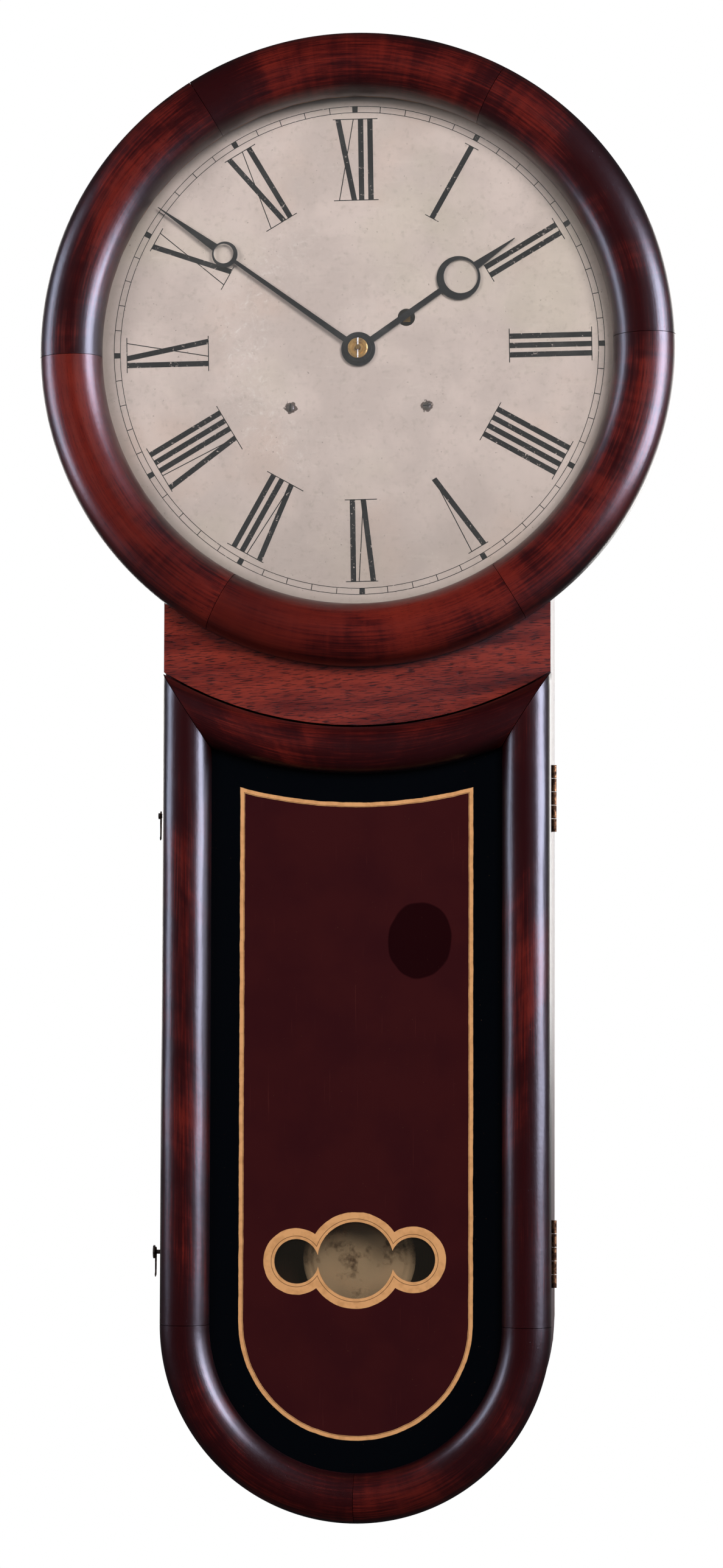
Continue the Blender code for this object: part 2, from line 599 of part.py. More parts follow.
def pendulum(pivot):
    plane = 0.0600
    thick = (plane - 0.0020, plane + 0.0020)
    box("suspension_spring", (-0.0024, 0.0024), (plane - 0.0002, plane + 0.0002), (0.0500, 0.0665), "steel", pivot)
    loop = [(-0.0036, 0.0497), (0.0036, 0.0497), (0.0036, 0.0225), (0.0125, 0.0120), (0.0125, -0.0080)]
    loop += [(0.0036, -0.0200), (0.0036, -0.4500), (-0.0036, -0.4500), (-0.0036, -0.0200), (-0.0125, -0.0080)]
    loop += [(-0.0125, 0.0120), (-0.0036, 0.0225)]
    window = [(-0.0030, 0.0165), (0.0030, 0.0165), (0.0095, 0.0100), (0.0095, -0.0065), (0.0030, -0.0135)]
    window += [(-0.0030, -0.0135), (-0.0095, -0.0065), (-0.0095, 0.0100)]
    rod = plate("pendulum_rod", [loop, window], thick, "pine", pivot)
    half = 0.0052
    profile = [(0, plane - half), (0.020, plane - half + 0.0014), (BOB_R, plane - 0.0008), (BOB_R, plane + 0.0008)]
    profile += [(0.0290, plane + 0.0018), (0.020, plane + half - 0.0014), (0, plane + half)]
    bob = turned("pendulum_bob", profile, (0, BOB_Z), "brass", pivot, steps=36)
    slot = box("bob_slot", (-0.0040, 0.0040), (thick[0] - GAP, thick[1] + GAP), (-0.4504, BOB_Z + 0.05), "brass")
    cut(bob, slot)
    stem = bar("rating_screw", 0.0012, (-0.5240, -0.4490), (0, plane), "steel", steps=10, along="z")
    join(rod, stem)
    bore = bar("bob_bore", 0.0016, (-0.5300, -0.4400), (0, plane), "steel", steps=10, along="z")
    cut(bob, bore)
    tube("rating_nut", (0.0015, 0.0060), (-0.5180, -0.5142), (0, plane), "brass", pivot, steps=20, along="z")


def weight(pivot, pulley_pivot):
    """Cast-iron weight in its chute behind the pendulum, hung from a pulley in the cord's loop."""
    middle = 0.0246
    depths, heights = (middle - 0.0125, middle + 0.0125), (WEIGHT_TOP - 0.090, WEIGHT_TOP)
    body = box("weight", (-0.034, 0.066), depths, heights, "cast_iron", pivot)
    change = body.modifiers.new("soft_edges", "BEVEL")
    change.width = 0.003
    change.segments = 2
    x = WINDING_AT[0] - 0.0005
    axle_z = WEIGHT_TOP + 0.0140
    straps = []
    for side in (-1, 1):
        depths, heights = sorted((middle + side * 0.0034, middle + side * 0.0046)), (WEIGHT_TOP - 0.004, axle_z + 0.004)
        straps.append(box(f"stirrup_{side}", (x - 0.004, x + 0.004), depths, heights, "cast_iron"))
    axle = bar("pulley_axle", 0.0010, (middle - 0.0046, middle + 0.0046), (x, axle_z), "steel", steps=10)
    join(body, *straps, axle)
    profile = [(0.0012, middle - 0.0028), (0.0092, middle - 0.0028), (0.0078, middle), (0.0092, middle + 0.0028)]
    profile += [(0.0012, middle + 0.0028)]
    turned("pulley", profile, (x, axle_z), "brass", pulley_pivot, steps=24)
    bottom = axle_z + 0.0105
    run_x = WINDING_AT[0] + DRUM_R + 0.0012
    bar("cord_drum_run", 0.0008, (bottom, WINDING_AT[1] - 0.012), (run_x, middle), "cord", steps=8, along="z")
    bar("cord_fixed_run", 0.0008, (bottom, WINDING_AT[1] - 0.058), (x - 0.0092, middle), "cord", steps=8, along="z")
    post = box("cord_post", (x - 0.0125, x - 0.0060), (0.0155, 0.0290), (-0.0395, -0.0355), "brass")
    join(bpy.data.objects["back_plate"], post)


def build():
    clear_scene()
    pivots = {
        "door": empty("door_axis", DOOR_HINGE[0], DOOR_HINGE[1], FOOT_Z),
        "bezel": empty("bezel_axis", BEZEL_HINGE[0], BEZEL_HINGE[1], HEAD_Z),
        "minute": empty("minute_axis"),
        "hour": empty("hour_axis"),
        "minute_wheel": empty("minute_wheel_axis", MINUTE_WHEEL_AT[0], 0, MINUTE_WHEEL_AT[1]),
        "great_wheel": empty("great_wheel_axis", WINDING_AT[0], 0, WINDING_AT[1]),
        "drum": empty("drum_axis", WINDING_AT[0], 0, WINDING_AT[1]),
        "third": empty("third_axis", THIRD_AT[0], 0, THIRD_AT[1]),
        "escape": empty("escape_axis", ESCAPE_AT[0], 0, ESCAPE_AT[1]),
        "verge": empty("verge_axis", 0, 0, SWING_Z),
        "pendulum": empty("pendulum_axis", 0, 0, SWING_Z),
        "weight": empty("weight_axis", 0, 0, WEIGHT_TOP),
        "pulley": empty("pulley_axis", WINDING_AT[0] - 0.0005, 0, WEIGHT_TOP + 0.0140),
    }
    case()
    dial()
    bezel(pivots["bezel"])
    door(pivots["door"])
    hinges(pivots)
    hooks()
    frame()
    going_train(pivots)
    winding(pivots["drum"])
    motion_work(pivots)
    hands(pivots)
    verge(pivots["verge"])
    pendulum(pivots["pendulum"])
    weight(pivots["weight"], pivots["pulley"])


build()
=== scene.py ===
"""Looks of the pendulum wall clock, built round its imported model."""

import json
from math import asin, cos, hypot, pi, radians, sin, sqrt, tau
from typing import NamedTuple

import bpy
import numpy as np
from mathutils import Euler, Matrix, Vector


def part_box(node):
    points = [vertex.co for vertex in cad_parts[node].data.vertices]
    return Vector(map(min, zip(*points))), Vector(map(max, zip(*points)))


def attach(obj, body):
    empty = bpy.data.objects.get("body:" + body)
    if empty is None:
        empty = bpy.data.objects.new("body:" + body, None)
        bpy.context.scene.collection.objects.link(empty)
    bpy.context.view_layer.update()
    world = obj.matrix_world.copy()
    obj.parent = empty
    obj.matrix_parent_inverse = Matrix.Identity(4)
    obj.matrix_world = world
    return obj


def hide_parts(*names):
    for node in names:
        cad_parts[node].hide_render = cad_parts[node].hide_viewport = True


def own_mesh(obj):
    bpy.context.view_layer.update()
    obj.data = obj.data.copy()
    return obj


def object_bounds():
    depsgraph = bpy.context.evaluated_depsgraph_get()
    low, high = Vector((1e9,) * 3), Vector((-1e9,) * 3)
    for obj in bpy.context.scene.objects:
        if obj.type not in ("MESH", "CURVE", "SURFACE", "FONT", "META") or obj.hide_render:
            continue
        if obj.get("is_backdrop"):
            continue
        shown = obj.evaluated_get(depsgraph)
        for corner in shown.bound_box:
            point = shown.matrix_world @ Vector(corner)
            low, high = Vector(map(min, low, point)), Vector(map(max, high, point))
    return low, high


bl_info = {
    "name": "Pendulum wall clock",
    "version": (1, 0, 0),
    "blender": (4, 5, 0),
    "location": "3D View > Sidebar > Clock",
    "description": "Dresses the packed clock: veneered case, printed dial, moon hands, painted tablet and pendulum",
    "category": "Object",
}

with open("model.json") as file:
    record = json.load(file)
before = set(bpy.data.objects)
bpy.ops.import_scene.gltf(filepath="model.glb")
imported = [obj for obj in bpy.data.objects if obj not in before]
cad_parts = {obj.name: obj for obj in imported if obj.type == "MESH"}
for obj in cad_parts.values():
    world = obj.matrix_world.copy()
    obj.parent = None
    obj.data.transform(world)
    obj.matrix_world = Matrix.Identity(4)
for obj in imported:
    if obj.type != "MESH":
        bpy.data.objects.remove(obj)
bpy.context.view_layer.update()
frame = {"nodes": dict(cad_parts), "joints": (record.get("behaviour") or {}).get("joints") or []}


def span(*nodes):
    """Lowest and highest corner of several CAD nodes together."""
    boxes = [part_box(node) for node in nodes]
    return np.min([low for low, _ in boxes], axis=0), np.max([high for _, high in boxes], axis=0)


SEGMENTS = [f"bezel_segment_{i}" for i in range(1, 7)]
RING_LOW, RING_HIGH = span(*SEGMENTS)
BEZEL_R = RING_HIGH[0]
HEAD_Z = (RING_LOW[2] + RING_HIGH[2]) / 2
BEZEL_WIDTH = 0.0332
BEZEL_OPENING_R = BEZEL_R - BEZEL_WIDTH
DOOR_LOW, DOOR_HIGH = span("door_foot_left", "door_foot_right", "door_stile_left")
DOOR_HALF = DOOR_HIGH[0]
FOOT_Z = DOOR_LOW[2] + DOOR_HALF
MOULDING = 0.0258
DOOR_INNER = DOOR_HALF - MOULDING
RAIL_R = hypot(DOOR_HALF, DOOR_HIGH[2] - HEAD_Z)
RAIL_WIDTH = 0.0247
RAIL_INNER_R = RAIL_R + RAIL_WIDTH
DIAL_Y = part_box("dial")[0][1]
BOB_LOW, BOB_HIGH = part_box("pendulum_bob")
BOB_CENTRE = (BOB_LOW + BOB_HIGH) / 2
BOB_R = (BOB_HIGH[0] - BOB_LOW[0]) / 2
# Clockwise angles from twelve o'clock of the six joints in the bezel, the first one again at the end
JOINTS_AT = [radians(a) for a in (28.0, 88.0, 148.0, 208.0, 268.5, 328.0, 388.0)]
# How light the polish of each bezel segment is
SEGMENT_TONES = (-0.07, 0.02, 0.10, 0.09, -0.03, -0.06)
ROMAN = ["I", "II", "III", "IIII", "V", "VI", "VII", "VIII", "IX", "X", "XI", "XII"]
MINUTES = 60
TRACK_WIDTH = 0.0033
# Half widths of the strokes and lines that are painted on the dial, and how far a serif runs past its numeral
THICK_STROKE = 0.00143
THIN_STROKE = 0.00024
SERIF_HALF = 0.00022
SERIF_OVERHANG = 0.0016
MINUTE_HALF = 0.00020
RING_HALF = 0.00017
# The tablet's gold frame: half width, centre of its round foot, radius of its hollow top and width of the line
FRAME_HALF = 0.0617
FRAME_FOOT_Z = -0.5155
FRAME_TOP_R = 0.2403
FRAME_LINE = 0.0024
# Windows of the tablet: centre x, centre z, radius, width of the gold collar
WINDOWS = ((0.0, -0.4832, 0.0201, 0.0052), (-0.0312, -0.4839, 0.0117, 0.0057), (0.0302, -0.4827, 0.0117, 0.0057))
# A dark stain in the tablet's maroon: its centre, and its half width and half height
STAIN_AT = (0.0331, -0.3147)
STAIN_SIZE = (0.0169, 0.0193)
# Thickness of the bent walls of the case
WALL = 0.008
# Edges sharper than this are drawn sharp.
SHARP_ANGLE = radians(38)
# Soft lights: name, place, rotation in degrees, size, power, colour, and the only kind of surface that shows it
LIGHTS = (
    ("right softbox", (1.35, -0.50, 0.10), (90, 0, 69), (0.75, 1.05), 68, (0.72, 0.76, 1.0), "glossy"),
    ("left softbox", (-1.30, -0.25, 0.10), (90, 0, -79), (0.45, 1.05), 19, (0.68, 0.76, 1.0), "glossy"),
    ("rear fill -1", (-1.1, 2.0, 0.2), (82, 0, 208), (1.2, 1.2), 22, (1.0, 0.98, 0.96), ""),
    ("rear fill 1", (1.1, 2.0, 0.2), (82, 0, 152), (1.2, 1.2), 22, (1.0, 0.98, 0.96), ""),
    ("right fill", (0.80, -2.20, 0.45), (80, 0, 20), (0.9, 0.9), 35, (1.0, 0.98, 0.97), "diffuse"),
    ("left fill", (-1.10, -2.00, 0.30), (82, 0, -28), (0.9, 0.9), 15, (1.0, 0.98, 0.97), "diffuse"),
)
FLOOR_DROP = 0.9
FLOOR_HALF = 3.0


def srgb(red, green, blue):
    """A display colour in 0 to 255 as a linear one."""
    return tuple((c / 255 / 12.92) if c <= 10 else ((c / 255 + 0.055) / 1.055) ** 2.4 for c in (red, green, blue))


class ClockSettings(bpy.types.PropertyGroup):
    """Sizes and colours that a user would change."""

    track_r: bpy.props.FloatProperty(
        name="Minute track radius", description="Outer line of the minute track", default=0.1312, unit="LENGTH"
    )
    numeral_r: bpy.props.FloatVectorProperty(
        name="Numeral radii",
        description="Foot and top of the numerals",
        size=2,
        default=(0.0805, 0.1243),
        unit="LENGTH",
    )
    dial_turn: bpy.props.FloatProperty(
        name="Dial turn", description="How far the dial has slipped round", default=radians(-1.0), subtype="ANGLE"
    )
    minute_at: bpy.props.FloatProperty(
        name="Minute hand", description="Clockwise from twelve", default=radians(305.6), subtype="ANGLE"
    )
    hour_at: bpy.props.FloatProperty(
        name="Hour hand", description="Clockwise from twelve", default=radians(54.8), subtype="ANGLE"
    )
    dial_colour: bpy.props.FloatVectorProperty(
        name="Dial", description="Aged dial paint", subtype="COLOR", default=srgb(228, 211, 203)
    )
    gold: bpy.props.FloatVectorProperty(
        name="Gold lines", description="Gold paint on the tablet", subtype="COLOR", default=srgb(236, 176, 120)
    )
    maroon: bpy.props.FloatVectorProperty(
        name="Tablet field", description="Maroon paint on the tablet", subtype="COLOR", default=srgb(60, 20, 22)
    )
    polish_dark: bpy.props.FloatVectorProperty(
        name="Dark polish", description="Deepest tone of the mahogany", subtype="COLOR", default=srgb(26, 3, 5)
    )
    polish_mid: bpy.props.FloatVectorProperty(
        name="Polish", description="Main tone of the mahogany", subtype="COLOR", default=srgb(74, 13, 14)
    )
    polish_light: bpy.props.FloatVectorProperty(
        name="Light polish", description="Lightest tone of the mahogany", subtype="COLOR", default=srgb(122, 36, 24)
    )


def settings():
    return bpy.context.scene.clock_settings


# --- Materials ---


class Value:
    """A socket of a material. Sums, products and comparisons on it add Math nodes."""

    def __init__(self, maker, socket):
        self.maker, self.socket = maker, socket

    def math(self, operation, *others):
        return self.maker.node("ShaderNodeMath", {"operation": operation}, self, *others)

    def __add__(self, other):
        return self.math("ADD", other)

    def __sub__(self, other):
        return self.math("SUBTRACT", other)

    def __rsub__(self, other):
        return self.maker.node("ShaderNodeMath", {"operation": "SUBTRACT"}, other, self)

    def __mul__(self, other):
        return self.math("MULTIPLY", other)

    def __truediv__(self, other):
        return self.math("DIVIDE", other)

    def __pow__(self, other):
        return self.math("POWER", other)

    def sqrt(self):
        return self.math("SQRT")

    def abs(self):
        return self.math("ABSOLUTE")

    def least(self, other):
        return self.math("MINIMUM", other)

    def most(self, other):
        return self.math("MAXIMUM", other)

    def ramp(self, low, high, smooth=True):
        """0 under low and 1 over high."""
        kind = "SMOOTHSTEP" if smooth else "LINEAR"
        return self.maker.node("ShaderNodeMapRange", {"interpolation_type": kind}, self, low, high, 0.0, 1.0)


class Maker:
    """Builds one material's nodes."""

    def __init__(self, name):
        self.material = bpy.data.materials.new(name)
        self.material.use_nodes = True
        self.tree = self.material.node_tree
        self.shader = self.tree.nodes["Principled BSDF"]
        self.places = self.tree.nodes.new("ShaderNodeTexCoord")

    def put(self, socket, value):
        if isinstance(value, Value):
            self.tree.links.new(value.socket, socket)
        elif hasattr(value, "__len__"):
            value = tuple(value)
            socket.default_value = value if len(value) == len(socket.default_value) else (*value, 1.0)
        else:
            socket.default_value = value

    def node(self, kind, choices=None, *values, out=0, **named):
        """One node: its choices are set first, then its sockets by order or by name."""
        made = self.tree.nodes.new(kind)
        for key, value in (choices or {}).items():
            setattr(made, key, value)
        for socket, value in zip([s for s in made.inputs if s.enabled], values):
            self.put(socket, value)
        for key, value in named.items():
            self.put(made.inputs[key.replace("_", " ")], value)
        return Value(self, made.outputs[out])

    def place(self, space="Object"):
        return Value(self, self.places.outputs[space])

    def axes(self, vector):
        return [self.node("ShaderNodeSeparateXYZ", None, vector, out=i) for i in range(3)]

    def stretch(self, vector, scale, shift=(0, 0, 0), turn=(0, 0, 0)):
        return self.node("ShaderNodeMapping", None, vector, shift, turn, scale)

    def noise(self, vector, scale, detail=3.0, rough=0.5, warp=0.0):
        made = self.node("ShaderNodeTexNoise", None, Vector=vector, Scale=scale, Detail=detail, Roughness=rough)
        made.socket.node.inputs["Distortion"].default_value = warp
        return made

    def mix(self, share, first, second):
        made = self.tree.nodes.new("ShaderNodeMix")
        made.data_type = "RGBA"
        for index, value in ((0, share), (6, first), (7, second)):
            self.put(made.inputs[index], value)
        return Value(self, made.outputs[2])

    def bump(self, height, depth, strength=1.0):
        return self.node("ShaderNodeBump", None, Strength=strength, Distance=depth, Height=height)

    def finish(self, **sockets):
        for key, value in sockets.items():
            self.put(self.shader.inputs[key.replace("_", " ")], value)
        return self.material


def veneer(name, shift, across=1.0, tone=0.0, figure=1.0):
    """Figured mahogany under old polish. It reads the piece's own map, in metres along and across the moulding.
    Its figure is broad cloudy bands and narrow ripples that run across the moulding, and fine pores along it."""
    s, m = settings(), Maker(name)
    own = m.place("UV")
    clouds = m.noise(m.stretch(own, (14, 26 * across, 1), (shift, shift * 0.7, 0)), 1.0, 4, 0.55, 0.4)
    ripple = m.noise(m.stretch(own, (150, 14, 1), (shift * 3, 0, 0)), 1.0, 3, 0.6, 0.6)
    bands = m.noise(m.stretch(own, (7.5, 0.6, 1), (shift * 1.7, 4, 0)), 1.0, 1, 0.4)
    streak = m.noise(m.stretch(own, (26, 900, 1), (shift, 0, 0)), 1.0, 4, 0.65)
    pores = m.noise(m.stretch(own, (260, 2600, 1), (shift, 9, 0)), 1.0, 2, 0.6)
    light = (clouds * 0.8 + ripple * 0.18 * figure + streak * 0.44 - 0.20 + tone).ramp(0.34, 0.80)
    dark = bands.ramp(0.50, 0.70) * 0.5 * figure
    colour = m.mix(light, s.polish_mid, s.polish_light)
    colour = m.mix((1 - light).ramp(0.45, 1.0) * 0.75, colour, s.polish_dark)
    colour = m.mix(dark.most(pores.ramp(0.57, 0.68) * 0.55), colour, s.polish_dark)
    # Painted shade: the colour darkens towards each edge of the moulding, where the quirk lies in shade.
    _, over, _ = m.axes(own)
    edge = over.abs().ramp(0.0102, 0.0165)
    colour = m.mix(edge * 0.5, colour, srgb(16, 5, 5))
    scuff = m.noise(m.place(), 900, 2, 0.7).ramp(0.70, 0.78)
    colour = m.mix(scuff * 0.35, colour, srgb(20, 8, 8))
    wear = m.noise(m.place(), 60, 4, 0.6)
    height = streak * 0.25 + wear * 0.6 + m.noise(m.place(), 420, 2) * 0.3 - scuff * 0.4
    return m.finish(
        Base_Color=colour,
        Roughness=wear * 0.10 + 0.28,
        Normal=m.bump(height, 0.0005, 0.35),
        Coat_Weight=0.08,
        Coat_Roughness=0.26,
        Specular_IOR_Level=0.42,
    )


def straight_wood(name, dark, mid, light, grain=(9, 60, 260), turn=(0, 0, 0), rough=0.45, coat=0.1, flecks=0.8):
    """Straight-grained wood: tones and dark open flecks stretched along the grain."""
    m = Maker(name)
    own = m.stretch(m.place(), (1, 1, 1), (0, 0, 0), turn)
    tone = m.noise(m.stretch(own, (grain[0], grain[1], grain[1])), 1.0, 4, 0.6, 0.5)
    line = m.noise(m.stretch(own, (grain[0] * 3, grain[2], grain[2])), 1.0, 3, 0.7)
    fleck = m.noise(m.stretch(own, (150, 1500, 1900), (3, 1, 2)), 1.0, 2, 0.5).ramp(0.53, 0.61)
    colour = m.mix((tone * 0.7 + line * 0.45).ramp(0.42, 0.72), mid, light)
    colour = m.mix((1 - tone).ramp(0.5, 0.75) * 0.6, colour, dark)
    colour = m.mix(fleck * flecks, colour, tuple(c * 0.35 for c in dark))
    return m.finish(
        Base_Color=colour,
        Roughness=line * 0.2 + rough,
        Normal=m.bump(line * 0.5 - fleck, 0.0004, 0.4),
        Coat_Weight=coat,
        Coat_Roughness=0.3,
    )


def metal(name, clean, tarnish, rough=0.35, spots=0.5, scale=160, metallic=1.0, spun=False):
    """Aged metal: tarnish in clouds and specks over a brighter ground, with fine turning lines where it was spun."""
    m = Maker(name)
    spot = m.place()
    cloud = m.noise(spot, scale, 4, 0.6, 0.3)
    speck = m.noise(spot, scale * 6, 2, 0.6)
    grime = (cloud + (speck - 0.5) * 0.5).ramp(0.62 - spots * 0.3, 0.86 - spots * 0.3)
    height = cloud * 0.4 + speck * 0.3
    if spun:
        x, _, z = m.axes(spot)
        reach = (x * x + (z - float(BOB_CENTRE[2])) ** 2.0).sqrt()
        height = height + m.noise(m.node("ShaderNodeCombineXYZ", None, reach, 0.0, 0.0), 2600, 2) * 0.5
    return m.finish(
        Base_Color=m.mix(grime, clean, tarnish),
        Metallic=metallic,
        Roughness=grime * 0.28 + rough,
        Normal=m.bump(height, 0.00025, 0.25),
    )


def dial_paint():
    """Oil paint on sheet metal: warm grey clouds, foxing, scuffs in an arc, chips round the screws, painted shade
    towards the bottom and a painted shadow of the bezel round the rim.
    """
    s, m = settings(), Maker("aged dial paint")
    spot = m.place()
    x, _, z = m.axes(spot)
    reach = (x * x + z * z).sqrt()
    cloud = m.noise(spot, 22, 5, 0.6, 0.3)
    fine = m.noise(spot, 320, 4, 0.7)
    pale = tuple(s.dial_colour)
    colour = m.mix(cloud.ramp(0.36, 0.66), tuple(c * 0.84 for c in pale), pale)
    colour = m.mix(m.noise(spot, 13, 3).ramp(0.50, 0.72) * 0.40, colour, srgb(210, 202, 180))
    pink = m.noise(m.stretch(spot, (1, 1, 1), (3, 0, 5)), 17, 3).ramp(0.52, 0.74)
    colour = m.mix(pink * 0.4, colour, srgb(226, 198, 182))
    colour = m.mix(fine.ramp(0.50, 0.80) * 0.35, colour, srgb(158, 146, 132))
    brush = m.noise(m.stretch(spot, (60, 60, 420), (0, 0, 0), (0, radians(52), 0)), 1.0, 3, 0.7)
    colour = m.mix(brush.ramp(0.55, 0.75) * 0.22, colour, srgb(236, 226, 214))
    # Painted shade: the dial is darker towards the bottom, where less light falls.
    shade = (0.0 - z).ramp(0.02, 0.135) * 0.30
    colour = m.mix(shade, colour, srgb(150, 138, 128))
    left = (0.0 - x).ramp(0.005, 0.055) * (reach - 0.062).abs().ramp(0.022, 0.004)
    scuff = m.noise(spot, 190, 7, 0.9, 1.2).ramp(0.50, 0.66) * left
    colour = m.mix(scuff * 0.6, colour, srgb(248, 242, 236))
    fox = m.noise(spot, 760, 2, 0.6).ramp(0.70, 0.75)
    colour = m.mix(fox * 0.6, colour, srgb(92, 76, 60))
    chalk = m.noise(m.stretch(spot, (1, 1, 1), (7, 2, 4)), 620, 3, 0.7).ramp(0.68, 0.73)
    colour = m.mix(chalk * 0.5, colour, srgb(244, 238, 230))
    # Painted shadow: the dial darkens in a ring at its rim, under the bezel's inner edge.
    rim = reach.ramp(0.131, 0.137)
    colour = m.mix(rim * 0.35, colour, srgb(122, 112, 98))
    # Paint has chipped off round the two screws.
    chips = 0.0
    for node in ("dial_screw_left", "dial_screw_right"):
        low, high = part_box(node)
        centre = (low + high) / 2
        away = ((x - float(centre[0])) ** 2.0 + (z - float(centre[2])) ** 2.0).sqrt()
        chips = (1 - (away + (m.noise(spot, 520, 3) - 0.5) * 0.004).ramp(0.0029, 0.0033)) + chips
    colour = m.mix(chips * 0.9, colour, srgb(66, 46, 38))
    return m.finish(
        Base_Color=colour, Roughness=fine * 0.2 + 0.42, Normal=m.bump(cloud * 0.6 + fine * 0.3 - fox, 0.0004, 0.25)
    )


def ink(name, colour, gone=0.16):
    """Black paint of the numerals, rubbed through in small flecks."""
    s, m = settings(), Maker(name)
    rub = m.noise(m.place(), 520, 5, 0.75).ramp(0.66 - gone * 0.3, 0.70 - gone * 0.2)
    tone = m.noise(m.place(), 70, 3)
    base = m.mix(tone.ramp(0.4, 0.7) * 0.4, colour, srgb(34, 36, 40))
    return m.finish(Base_Color=m.mix(rub * 0.75, base, s.dial_colour), Roughness=0.5, Specular_IOR_Level=0.15)


def tablet_paint():
    """Reverse-painted glass in black, gold and maroon, with three clear windows. Every outline is a distance: to a
    long pane with a hollow top and a round foot for the gold frame, and to three circles for the windows."""
    s, m = settings(), Maker("painted tablet")
    spot = m.place()
    x, _, z = m.axes(spot)
    wobble = (m.noise(spot, 160, 2) - 0.5) * 0.0006

    def pane(half):
        side = x.abs() - half
        bottom = (x * x + (z - FRAME_FOOT_Z) ** 2.0).sqrt() - half
        above_foot = z.ramp(FRAME_FOOT_Z - 0.0001, FRAME_FOOT_Z + 0.0001, False)
        inside = side * above_foot + bottom * (1 - above_foot)
        top = FRAME_TOP_R + (FRAME_HALF - half) - (x * x + (z - float(HEAD_Z)) ** 2.0).sqrt()
        return inside.most(top) + wobble

    def windows(collared):
        away = None
        for centre_x, centre_z, radius, collar in WINDOWS:
            edge_r = radius + (collar if collared else 0.0)
            reach = ((x - centre_x) ** 2.0 + (z - centre_z) ** 2.0).sqrt() - edge_r
            away = reach if away is None else away.least(reach)
        return away

    def below(distance, soft=0.0001):
        return 1 - distance.ramp(-soft, soft)

    edge = pane(FRAME_HALF)
    frame_band = below(edge) * (1 - below(edge + FRAME_LINE))
    field = below(edge + FRAME_LINE)
    line = below(edge + 0.0019) * (1 - below(edge + 0.0022))
    holes = windows(False)
    collars = below(windows(True) + wobble)
    ring_line = below((holes - 0.0016).abs() - 0.00014)
    clear = below(holes)
    old = m.noise(spot, 900, 3, 0.7)
    gold = m.mix(m.noise(spot, 260, 3).ramp(0.4, 0.7) * 0.4, s.gold, srgb(190, 134, 84))
    maroon = m.mix(m.noise(spot, 30, 3).ramp(0.35, 0.7) * 0.5, s.maroon, srgb(47, 14, 20))
    across = (x - STAIN_AT[0]) ** 2.0 / STAIN_SIZE[0] ** 2
    upward = (z - STAIN_AT[1]) ** 2.0 / STAIN_SIZE[1] ** 2
    stain = (across + upward).sqrt() + (m.noise(spot, 40, 2) - 0.5) * 0.35
    scratch = m.noise(m.stretch(spot, (1500, 1, 24)), 1.0, 2, 0.5).ramp(0.69, 0.73)
    maroon = m.mix(scratch * 0.30, maroon, srgb(96, 46, 42))
    maroon = m.mix(below(stain - 1, 0.03) * 0.9, maroon, srgb(28, 3, 6))
    pin = m.noise(spot, 1500, 1).ramp(0.80, 0.82)
    black = m.mix(old.ramp(0.6, 0.8) * 0.35, srgb(3, 5, 9), srgb(20, 22, 24))
    colour = m.mix(field, black, maroon)
    colour = m.mix(pin * 0.5, colour, srgb(130, 96, 70))
    colour = m.mix(frame_band.most(collars), colour, gold)
    colour = m.mix((line * 0.7).most(ring_line * 0.85), colour, srgb(60, 34, 22))
    colour = m.mix((old.ramp(0.69, 0.74) * frame_band.most(collars)) * 0.7, colour, srgb(90, 56, 36))
    glaze = m.mix(clear, colour, srgb(120, 112, 100))
    return m.finish(Base_Color=glaze, Alpha=1 - clear * 0.96, Roughness=clear * -0.2 + 0.28, Specular_IOR_Level=0.2)


def clear_glass():
    m = Maker("old clear glass")
    dust = m.noise(m.place(), 35, 4, 0.7)
    return m.finish(
        Base_Color=srgb(240, 240, 236), Alpha=dust.ramp(0.45, 0.9) * 0.03 + 0.03, Roughness=dust * 0.05 + 0.03
    )


def twisted_cord():
    """Gut-coloured cord: its lay is a wave round its own map."""
    m = Maker("weight cord")
    lay = m.node("ShaderNodeTexWave", None, Vector=m.place("UV"), Scale=6.0, Distortion=0.5)
    colour = m.mix(lay, srgb(96, 78, 48), srgb(170, 146, 100))
    return m.finish(Base_Color=colour, Roughness=0.75, Normal=m.bump(lay, 0.0004, 0.6))


